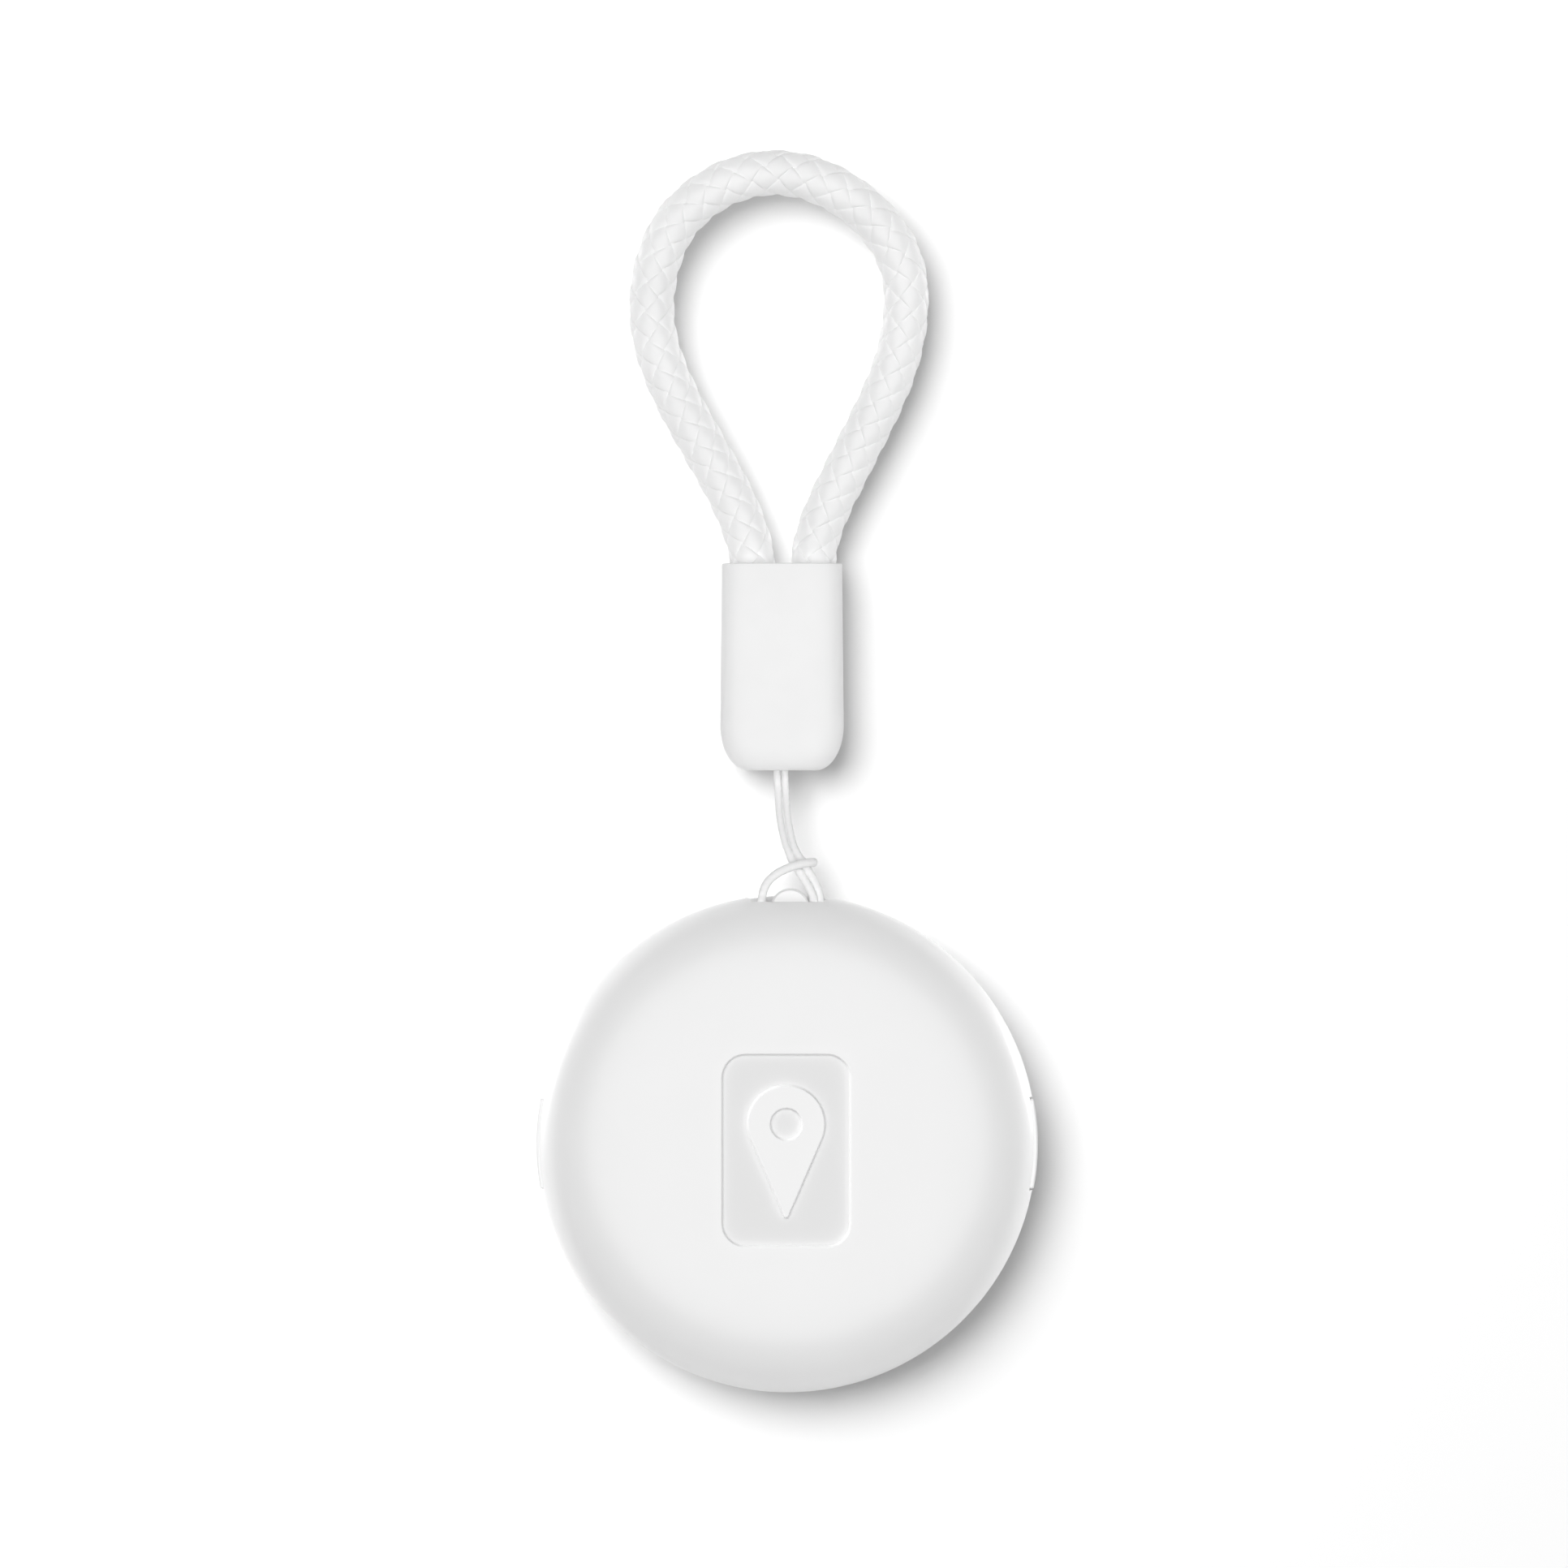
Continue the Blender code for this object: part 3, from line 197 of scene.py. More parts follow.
def mesh_object(name, verts, faces, look=None, sharp=math.radians(40)):
    """An object of millimetre vertices, smooth but for the edges sharper than the angle."""
    mesh = bpy.data.meshes.new(name)
    mesh.from_pydata((np.asarray(verts, float) * MM).tolist(), [], [list(map(int, f)) for f in faces])
    mesh.validate()
    mesh.shade_smooth()
    if sharp:
        mesh.set_sharp_from_angle(angle=sharp)
    if look:
        mesh.materials.append(look)
    return link(bpy.data.objects.new(name, mesh))


def turn_outwards(obj):
    bm = bmesh.new()
    bm.from_mesh(obj.data)
    bmesh.ops.recalc_face_normals(bm, faces=bm.faces)
    bm.to_mesh(obj.data)
    bm.free()
    return obj


def ring_faces(rings, count):
    """Quads between rings of count vertices each, numbered one ring after another."""
    faces = []
    for ring in range(rings - 1):
        low = ring * count
        for i in range(count):
            j = (i + 1) % count
            faces.append((low + i, low + j, low + count + j, low + count + i))
    return faces


def turned(name, profile, look=None, steps=256, centre=(0.0, 0.0)):
    """A closed (radius, z) profile round a vertical axis. Its first and last points are on the axis."""
    angles = np.linspace(0, math.tau, steps, endpoint=False)
    inner = profile[1:-1]
    verts = []
    for radius, z in inner:
        verts += [(centre[0] + radius * math.cos(a), centre[1] + radius * math.sin(a), z) for a in angles]
    faces = ring_faces(len(inner), steps)
    first = len(verts)
    verts += [(*centre, profile[0][1]), (*centre, profile[-1][1])]
    top = (len(inner) - 1) * steps
    for i in range(steps):
        j = (i + 1) % steps
        faces.append((first, j, i))
        faces.append((first + 1, top + i, top + j))
    return turn_outwards(mesh_object(name, verts, faces, look))


def rod(name, centre, radius, low, high, steps=96):
    return turned(name, [(0, low), (radius, low), (radius, high), (0, high)], None, steps, centre)


def prism(name, outline, low, high, look=None):
    """A flat (x, y) outline raised from z = low to z = high."""
    count = len(outline)
    verts = [(x, y, low) for x, y in outline] + [(x, y, high) for x, y in outline]
    faces = [list(range(count))[::-1], list(range(count, 2 * count))]
    faces += [(i, (i + 1) % count, count + (i + 1) % count, count + i) for i in range(count)]
    return turn_outwards(mesh_object(name, verts, faces, look))


def box_of(name, low, high):
    (x0, y0, z0), (x1, y1, z1) = low, high
    return prism(name, [(x0, y0), (x1, y0), (x1, y1), (x0, y1)], z0, z1)


def apply_modifiers(obj):
    bpy.context.view_layer.update()
    evaluated = obj.evaluated_get(bpy.context.evaluated_depsgraph_get())
    mesh = bpy.data.meshes.new_from_object(evaluated)
    obj.modifiers.clear()
    old = obj.data
    obj.data = mesh
    bpy.data.meshes.remove(old)


def carve(target, tools, operation="DIFFERENCE"):
    """Cuts the tools from target, or joins them to it, and removes them."""
    for tool in tools:
        modifier = target.modifiers.new("carve", "BOOLEAN")
        modifier.operation = operation
        modifier.solver = "MANIFOLD"
        modifier.object = tool
        apply_modifiers(target)
        bpy.data.objects.remove(tool, do_unlink=True)
    return target


def bevelled(obj, width, segments=3):
    """The object with its sharp edges rounded off by the width."""
    modifier = obj.modifiers.new("bevel", "BEVEL")
    modifier.width = width * MM
    modifier.segments = segments
    modifier.limit_method = "ANGLE"
    modifier.angle_limit = math.radians(35)
    modifier.harden_normals = False
    apply_modifiers(obj)
    return obj


def smooth_shade(obj, angle=math.radians(40)):
    obj.data.shade_smooth()
    obj.data.set_sharp_from_angle(angle=angle)
    return obj


def arc(radius, start, end, steps):
    """(x, y) points round the case's axis, from one angle to another."""
    return [(radius * math.cos(a), radius * math.sin(a)) for a in np.linspace(start, end, steps + 1)]


def ring_sector(inner, outer, half_length, angle, steps):
    """The part of a ring round the case's axis that is within half_length of the line at angle."""
    spread_out = math.asin(half_length / outer)
    spread_in = math.asin(half_length / inner)
    outline = arc(outer, angle - spread_out, angle + spread_out, steps)
    return outline + arc(inner, angle + spread_in, angle - spread_in, steps)


# ---- lines and tubes

def distances_along(line):
    """The distance from the line's start to each of its points."""
    return np.concatenate([[0], np.cumsum(np.linalg.norm(np.diff(line, axis=0), axis=1))])


def smooth_line(points, spacing):
    """Points spacing apart along a Catmull-Rom curve through the given points, as an array."""
    knots = np.asarray(points, float)
    knots = np.vstack([2 * knots[0] - knots[1], knots, 2 * knots[-1] - knots[-2]])
    fine = []
    share = np.linspace(0, 1, 24, endpoint=False)[:, None]
    for a, b, c, d in zip(knots, knots[1:], knots[2:], knots[3:]):
        fine.append(
            0.5 * (2 * b + (c - a) * share + (2 * a - 5 * b + 4 * c - d) * share ** 2
                   + (3 * b - a - 3 * c + d) * share ** 3)
        )
    fine = np.vstack([*fine, knots[-2:-1]])
    along = distances_along(fine)
    at = np.linspace(0, along[-1], max(2, round(along[-1] / spacing)) + 1)
    return np.stack([np.interp(at, along, fine[:, k]) for k in range(3)], axis=1)


def unit(vectors):
    return vectors / np.maximum(np.linalg.norm(vectors, axis=-1, keepdims=True), 1e-12)


def frames_along(line):
    """Two directions across the line at each of its points, carried along it with no twist."""
    tangents = unit(np.gradient(line, axis=0))
    up = np.array((0.0, 0.0, 1.0))
    normal = unit(up - tangents[0] * (up @ tangents[0]))
    normals = [normal]
    for tangent in tangents[1:]:
        normal = unit(normal - tangent * (normal @ tangent))
        normals.append(normal)
    normals = np.array(normals)
    return normals, np.cross(tangents, normals)


def squared_circle(sides, squareness):
    """(u, v) round a circle of radius 1 that is squared off the more, the further squareness is above 2."""
    angles = np.linspace(0, math.tau, sides, endpoint=False)
    u, v = np.cos(angles), np.sin(angles)
    power = 2 / squareness
    return np.sign(u) * np.abs(u) ** power, np.sign(v) * np.abs(v) ** power


def capped(rings, count):
    """The faces of rings joined one to the next, with both ends closed."""
    faces = ring_faces(rings, count)
    faces.append(list(range(count))[::-1])
    faces.append(list(range((rings - 1) * count, rings * count)))
    return faces


# ---- string

STRING_STEP = 0.11
STRING_SIDES = 18
STRING_PLIES = 3
STRING_LAY = 1.5  # length of one turn of its plies
STRING_GROOVE = 0.13  # depth of the grooves between plies, as a share of the radius


def twisted_tube(name, line, diameter, look):
    """A cord of twisted plies along a line. The diameter is a number, or one for each point of the line."""
    across, beside = frames_along(line)
    along = distances_along(line)
    angles = np.linspace(0, math.tau, STRING_SIDES, endpoint=False)
    verts = []
    for place, n, b, s, width in zip(line, across, beside, along, np.broadcast_to(diameter, len(line))):
        ply = np.abs(np.cos(0.5 * STRING_PLIES * (angles - math.tau * s / STRING_LAY)))
        radius = width / 2 * (1 - STRING_GROOVE + STRING_GROOVE * ply ** 0.6)
        verts.append(place + radius[:, None] * (np.cos(angles)[:, None] * n + np.sin(angles)[:, None] * b))
    return turn_outwards(mesh_object(name, np.vstack(verts), capped(len(line), STRING_SIDES), look, None))


def make_string(look):
    """The string: down from the sleeve, through its hitch round the pillar, and back."""
    left = [(x - STRING_SIDE, y, z) for x, y, z in LEAD_ROUTE]
    right = [(x + STRING_SIDE, y, z) for x, y, z in LEAD_ROUTE]
    line = smooth_line(left + HITCH_ROUTE + right[::-1], STRING_STEP)
    # The string is slack in its hitch, so its plies open a little there.
    slack = np.clip((FOLD_PIVOT[1] - line[:, 1]) / SLACK_EASE + 0.5, 0, 1)
    string = twisted_tube("string", line, STRING_DIAMETER + slack * (SLACK_DIAMETER - STRING_DIAMETER), look)

    # The overhand knot that keeps both ends in the sleeve.
    t = np.linspace(0, math.tau, 140)[:-6]
    loop = np.stack([np.sin(t) + 2 * np.sin(2 * t), np.cos(t) - 2 * np.cos(2 * t), -np.sin(3 * t)], axis=1)
    knot = twisted_tube("string_end_knot", loop * KNOT_SCALE + KNOT_CENTRE, STRING_DIAMETER, look)
    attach(knot, "lanyard")
    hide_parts("string_knot")

    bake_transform(string)
    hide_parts("cord_hitch", "cord_lead_left", "cord_lead_right")


# ---- braid

BRAID_STEP = 0.2
BRAID_PITCH = 11.3  # length in which a strip goes once round
BRAID_STRIPS = 5  # in each direction
STRIP_WIDTH = 1.54
STRIP_THICKNESS = 0.42
STRIP_SWING = 0.12  # how far a strip moves in and out as it passes under and over
STRIP_SQUARENESS = 3.6
STRIP_SIDES = 14
STRIP_HUG = 0.25  # how much of the braid's roundness shows across a strip


def braid_strip(line, turn, start):
    """Vertices of one flat strip that winds along the line, over and under its neighbours."""
    across, beside = frames_along(line)
    along = distances_along(line)
    angle = turn * math.tau * along / BRAID_PITCH + start
    middle = BRAID_WIDTH / 2 - STRIP_THICKNESS / 2 - 0.5 * STRIP_SWING
    radius = middle + turn * STRIP_SWING * np.sin(BRAID_STRIPS * angle)
    out = np.cos(angle)[:, None] * across + np.sin(angle)[:, None] * beside
    centre = line + radius[:, None] * out
    tangent = unit(np.gradient(centre, axis=0))
    sideways = unit(np.cross(tangent, out))
    outward = np.cross(sideways, tangent)
    u, v = squared_circle(STRIP_SIDES, STRIP_SQUARENESS)
    verts = []
    for place, side, up, r in zip(centre, sideways, outward, radius):
        hug = (u * STRIP_WIDTH / 2) ** 2 * STRIP_HUG / r
        verts.append(
            place + (u * STRIP_WIDTH / 2)[:, None] * side + (v * STRIP_THICKNESS / 2 - hug)[:, None] * up
        )
    return np.vstack(verts)


def make_braid(look):
    """The hand loop: ten flat strips braided round, over one and under one, its two ends in the sleeve."""
    line = smooth_line(BRAID_ROUTE, BRAID_STEP)
    verts, faces = [], []
    for turn in (1, -1):
        for number in range(BRAID_STRIPS):
            first = sum(len(v) for v in verts)
            start = (number + (1 - turn) / 4) * math.tau / BRAID_STRIPS
            verts.append(braid_strip(line, turn, start))
            faces += [[first + i for i in face] for face in capped(len(line), STRIP_SIDES)]
    braid = turn_outwards(mesh_object("braid", np.vstack(verts), faces, look, math.radians(60)))
    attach(braid, "lanyard")
    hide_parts("braided_loop")
    return braid


# ---- materials

class Look:
    """Builds one node material."""

    def __init__(self, name, colour, roughness, metallic=0.0, specular=0.5):
        self.material = bpy.data.materials.new(name)
        self.material.use_nodes = True
        self.nodes = self.material.node_tree.nodes
        self.links = self.material.node_tree.links
        self.shader = self.nodes["Principled BSDF"]
        self.set(self.shader, "Base Color", (*colour, 1.0))
        self.set(self.shader, "Roughness", roughness)
        self.set(self.shader, "Metallic", metallic)
        self.set(self.shader, "Specular IOR Level", specular)
        self.place = self.nodes.new("ShaderNodeTexCoord").outputs["Object"]
        self.heights = []

    @staticmethod
    def set(node, socket, value):
        node.inputs[socket].default_value = value

    def noise(self, scale, detail=3.0, roughness=0.5, stretch=None):
        """A noise texture's value, scale being per metre."""
        place = self.place
        if stretch:
            mapping = self.nodes.new("ShaderNodeMapping")
            self.set(mapping, "Scale", stretch)
            self.links.new(place, mapping.inputs["Vector"])
            place = mapping.outputs["Vector"]
        node = self.nodes.new("ShaderNodeTexNoise")
        self.set(node, "Scale", scale)
        self.set(node, "Detail", detail)
        self.set(node, "Roughness", roughness)
        self.links.new(place, node.inputs["Vector"])
        return node.outputs["Fac"]

    def ramp(self, value, low, high, start=0.35, end=0.65):
        """The value mapped from start..end to low..high, either numbers or colours."""
        node = self.nodes.new("ShaderNodeMapRange")
        self.links.new(value, node.inputs["Value"])
        self.set(node, "From Min", start)
        self.set(node, "From Max", end)
        if not isinstance(low, tuple):
            self.set(node, "To Min", low)
            self.set(node, "To Max", high)
            return node.outputs["Result"]
        mix = self.nodes.new("ShaderNodeMix")
        mix.data_type = "RGBA"
        self.links.new(node.outputs["Result"], mix.inputs["Factor"])
        mix.inputs[6].default_value = (*low, 1.0)
        mix.inputs[7].default_value = (*high, 1.0)
        return mix.outputs[2]

    def to(self, socket, value):
        self.links.new(value, self.shader.inputs[socket])
        return self

    def bump(self, value, distance, strength=1.0):
        """Adds a bump of the given depth in millimetres."""
        node = self.nodes.new("ShaderNodeBump")
        self.set(node, "Strength", strength)
        self.set(node, "Distance", distance * MM)
        self.links.new(value, node.inputs["Height"])
        if self.heights:
            self.links.new(self.heights[-1], node.inputs["Normal"])
        self.heights.append(node.outputs["Normal"])
        self.links.new(node.outputs["Normal"], self.shader.inputs["Normal"])
        return self


def tint(colour, factor):
    return tuple(min(1.0, c * factor) for c in colour)


def plastic(name, colour, roughness, grain=0.006, grain_scale=9000.0, mottle=0.015, specular=0.5, sheen=0.05):
    """A moulded plastic: slight mottling of its colour and gloss, and a fine moulded grain."""
    look = Look(name, colour, roughness, specular=specular)
    broad = look.noise(160.0, 4.0)
    look.to("Base Color", look.ramp(broad, tint(colour, 1 - mottle), tint(colour, 1 + mottle)))
    fine = look.noise(700.0, 3.0)
    look.to("Roughness", look.ramp(fine, roughness - sheen, roughness + sheen))
    if grain:
        look.bump(look.noise(grain_scale, 2.0), grain)
    return look.material


SHELL_WHITE = (0.86,) * 3
SLEEVE_WHITE = (0.90,) * 3
PANEL_WHITE = (0.78,) * 3
BRAID_WHITE = (0.92,) * 3
STRING_WHITE = (0.88,) * 3


def make_looks():
    return {
        "shell": plastic("shell_white", SHELL_WHITE, 0.3, grain=0.0003, grain_scale=1500.0, mottle=0.004,
                         specular=0.65, sheen=0.012),
        "panel": plastic("panel_white", PANEL_WHITE, 0.5, grain=0.001, grain_scale=3000.0, mottle=0.006),
        "sleeve": plastic("sleeve_white", SLEEVE_WHITE, 0.45, grain=0.0015, grain_scale=3000.0, mottle=0.008),
        "braid": plastic("braid_white", BRAID_WHITE, 0.5, grain=0.008, grain_scale=4200.0, mottle=0.02),
        "string": plastic("string_white", STRING_WHITE, 0.7, grain=0.02, grain_scale=12000.0, mottle=0.03),
    }


# ---- case

RIM_STEPS = 384
PANEL_REACH = 10.6  # radius of the middle of the cover, which has the panel in it
PANEL_FRAME = 0.8  # how far the panel's own mesh reaches past the panel
EDGE_HALF = 0.075  # half the width of the sunk panel's walls, seen from above


def face_z(radius):
    """Height of the front cover's outside: flat in the middle, rounder and rounder to a steep rim."""
    share = np.clip((np.asarray(radius, float) / CASE_RADIUS - FACE_FLAT) / (1 - FACE_FLAT), 0, 1)
    return FRONT_RIM_Z + (CASE_HEIGHT - FRONT_RIM_Z) * np.sqrt(1 - share ** FACE_POWER)


def face_profile(points, first):
    """(radius, z) of the outside from first to the rim, closer together towards the rim."""
    angles = np.linspace(math.asin(first / CASE_RADIUS), math.pi / 2, points + 1)
    return [(float(r), float(face_z(r))) for r in CASE_RADIUS * np.sin(angles)]


def dome_profile(rim, height, points):
    """(radius, z) of a dome that isn't seen from outside, from the axis to its rim."""
    radii = rim * np.sin(np.linspace(0, math.pi / 2, points + 1))
    heights = FRONT_RIM_Z + height * np.sqrt(1 - (radii / rim) ** DOME_POWER)
    return [(float(r), float(z)) for r, z in zip(radii, heights)]


def dish_profile(flat, floor, rim, rim_z, points):
    """(radius, z) of a quarter ellipse from the edge of a flat floor up to the rim."""
    angles = np.linspace(0, math.pi / 2, points + 1)
    return [(flat + (rim - flat) * math.sin(a), rim_z - (rim_z - floor) * math.cos(a)) for a in angles]


def panel_distance(x, y):
    """Distance to the edge of the sunk panel, a rounded rectangle, negative inside it."""
    dx = np.abs(x - PANEL_CENTRE[0]) - (PANEL_SIZE[0] / 2 - PANEL_CORNER)
    dy = np.abs(y - PANEL_CENTRE[1]) - (PANEL_SIZE[1] / 2 - PANEL_CORNER)
    outside = np.hypot(np.maximum(dx, 0), np.maximum(dy, 0))
    return outside + np.minimum(np.maximum(dx, dy), 0) - PANEL_CORNER


def pin_distance(x, y):
    """Distance to the map pin's edge, negative inside it: a disc, and a wedge tangent to it."""
    # The tip is a small disc that touches both sides of the wedge.
    sine = PIN_RADIUS / (PIN_HEAD_Y - PIN_TIP_Y)
    cosine = math.sqrt(1 - sine ** 2)
    reach = PIN_HEAD_Y - PIN_TIP_Y - PIN_TIP_RADIUS / sine
    across = np.abs(x - PANEL_CENTRE[0])
    down = PIN_HEAD_Y - y
    along = cosine * down - sine * across
    at_side = cosine * across + sine * down - PIN_RADIUS
    at_head = np.hypot(across, down) - PIN_RADIUS
    at_tip = np.hypot(across, down - reach) - PIN_TIP_RADIUS
    solid = np.where(along < 0, at_head, np.where(along > cosine * reach, at_tip, at_side))
    eye = PIN_EYE_RADIUS - np.hypot(across, down)
    return np.maximum(solid, eye)


def edge_distance(x, y):
    """Distance to the nearest edge of the panel or the pin."""
    return np.minimum(np.abs(panel_distance(x, y)), np.abs(pin_distance(x, y)))


def wall_ramp(distance):
    """1 inside and 0 outside, with rounded shoulders."""
    t = np.clip(0.5 - distance / (2 * EDGE_HALF), 0, 1)
    return t * t * (3 - 2 * t)


def front_height(x, y):
    """Height of the front cover's outside, with its sunk panel and the pin left standing in it."""
    sunk = wall_ramp(panel_distance(x, y))
    pin = wall_ramp(pin_distance(x, y))
    return face_z(np.hypot(x, y)) - PANEL_DEPTH * sunk * (1 - pin)


def grid_points():
    """(x, y) over the middle of the cover, close together along the panel's and the pin's edges."""
    points = []
    # Each grid's spacing, its margin to the middle's rim, and the distances to an edge at which it is kept.
    for spacing, margin, nearest, furthest in ((0.42, 0.25, 0.3, math.inf), (0.05, 0.1, -1.0, 0.2)):
        places = np.arange(-PANEL_REACH, PANEL_REACH + 0.01, spacing)
        x, y = (a.ravel() for a in np.meshgrid(places, places))
        edge = edge_distance(x, y)
        keep = (np.hypot(x, y) < PANEL_REACH - margin) & (edge > nearest) & (edge < furthest)
        points.append(np.stack([x[keep], y[keep]], axis=1))
    return np.vstack(points)


def front_blank(look):
    """The front cover before it is cut: a fine middle with the panel, and rings round it to the inside."""
    angles = np.linspace(0, math.tau, RIM_STEPS, endpoint=False)
    circle = np.stack([np.cos(angles), np.sin(angles)], axis=1)
    inside = grid_points()
    flat = np.vstack([inside, circle * PANEL_REACH])
    last = len(inside)
    edges = [(last + i, last + (i + 1) % RIM_STEPS) for i in range(RIM_STEPS)]
    found = delaunay_2d_cdt([Vector(p) for p in flat], edges, [], 1, 1e-6)
    assert len(found[0]) == len(flat)
    xy = np.array([tuple(v) for v in found[0]])
    verts = [np.column_stack([xy, front_height(xy[:, 0], xy[:, 1])])]
    faces = [list(face) for face in found[2]]

    inner = [p for p in dome_profile(CASE_RADIUS - WALL, CASE_HEIGHT - WALL - FRONT_RIM_Z, 40)
             if p[0] < SKIRT_INNER][::-1]
    skirt = [(SKIRT_OUTER, FRONT_RIM_Z), (SKIRT_OUTER, SKIRT_BOTTOM + SKIRT_EDGE),
             (SKIRT_OUTER - SKIRT_EDGE, SKIRT_BOTTOM), (SKIRT_INNER, SKIRT_BOTTOM)]
    profile = face_profile(72, PANEL_REACH)[1:] + skirt + inner[:-1]
    for number, (radius, z) in enumerate(profile):
        verts.append(np.column_stack([circle * radius, np.full(RIM_STEPS, z)]))
        low = len(flat) + number * RIM_STEPS
        for i in range(RIM_STEPS):
            j = (i + 1) % RIM_STEPS
            faces.append((last + i, last + j, low + j, low + i))
        last = low
    verts = np.vstack([*verts, [(0, 0, inner[-1][1])]])
    for i in range(RIM_STEPS):
        faces.append((last + i, last + (i + 1) % RIM_STEPS, len(verts) - 1))
    return turn_outwards(mesh_object("front_shell", verts, faces, look))


def make_front_cover(look, panel_look):
    """The domed cover, with its pocket for the string, notch, thumb lip and room for the button."""
    cover = front_blank(look)
    block = rod("pocket_block", PILLAR_CENTRE, POCKET_BLOCK_RADIUS, FRONT_RIM_Z + 0.02, CASE_HEIGHT)
    half = WALL / 2
    middle = dome_profile(CASE_RADIUS - half, CASE_HEIGHT - half - FRONT_RIM_Z, 40)
    carve(block, [turned("dome_solid", middle + [(0, FRONT_RIM_Z)])], "INTERSECT")
    carve(cover, [block], "UNION")
    carve(cover, [rod("skirt_gap", PILLAR_CENTRE, POCKET_BLOCK_RADIUS + 0.3, 0, FRONT_RIM_Z - 0.02),
                  rod("pocket", PILLAR_CENTRE, POCKET_RADIUS, 0, POCKET_ROOF),
                  notch_tool(0, CASE_HEIGHT)])
    carve(cover, [make_lip()], "UNION")
    carve(cover, button_opening())
    smooth_shade(cover, math.radians(48))
    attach(cover, "cover")
    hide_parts("front_cover")
    panel = split_panel(cover, panel_look)
    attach(panel, "cover")
    return cover, panel


def split_panel(cover, panel_look):
    """Takes the sunk panel and a narrow frame round it off the cover, as a mesh that can be lit by itself."""
    panel = link(bpy.data.objects.new("front_panel", cover.data.copy()))
    panel.data.name = "front_panel"
    for obj, keep_panel in ((cover, False), (panel, True)):
        bm = bmesh.new()
        bm.from_mesh(obj.data)
        other = []
        for face in bm.faces:
            x, y, z = face.calc_center_median() / MM
            near = panel_distance(x, y) < PANEL_FRAME
            if (near and z > CASE_HEIGHT - WALL + 0.1) != keep_panel:
                other.append(face)
        bmesh.ops.delete(bm, geom=other, context="FACES")
        bm.to_mesh(obj.data)
        bm.free()
    panel.data.materials.append(panel_look)
    for polygon in panel.data.polygons:
        x, y, _ = polygon.center / MM
        sunk = panel_distance(x, y) < -EDGE_HALF
        polygon.material_index = int(sunk and pin_distance(x, y) > EDGE_HALF)
    return panel


def make_lip():
    """The proud stretch of the left rim that a thumb catches to lift the cover."""
    outline = ring_sector(CASE_RADIUS - WALL / 2, LIP_RADIUS, LIP_LENGTH / 2, math.pi, 48)
    return bevelled(prism("thumb_lip", outline, FRONT_RIM_Z + 0.02, LIP_TOP), 0.1)


def notch_tool(low, high):
    """The notch at the case's top, straight across and flaring outwards."""
    far = CASE_RADIUS + 1.0
    flare = NOTCH_HALF + NOTCH_SLANT * (far - NOTCH_Y)
    outline = [(-NOTCH_HALF, NOTCH_Y), (NOTCH_HALF, NOTCH_Y), (flare, far), (-flare, far)]
    return prism("notch", outline, low, high)


def button_opening():
    """What is cut from both covers for the button: its opening, and room for its flange to travel."""
    inside = FLANGE_X[0] - BUTTON_TRAVEL - FLANGE_ROOM
    half = BUTTON_LENGTH / 2 + BUTTON_GAP
    flange_half = FLANGE_LENGTH / 2 + FLANGE_ROOM
    return [
        box_of("opening", (inside, -half, BUTTON_BOTTOM - BUTTON_GAP),
               (CASE_RADIUS + 1, half, BUTTON_TOP + BUTTON_GAP)),
        box_of("flange_room", (inside, -flange_half, SKIRT_BOTTOM - FLANGE_ROOM),
               (FLANGE_X[1] + FLANGE_ROOM, flange_half, FLANGE_Z[1] + FLANGE_ROOM)),
    ]


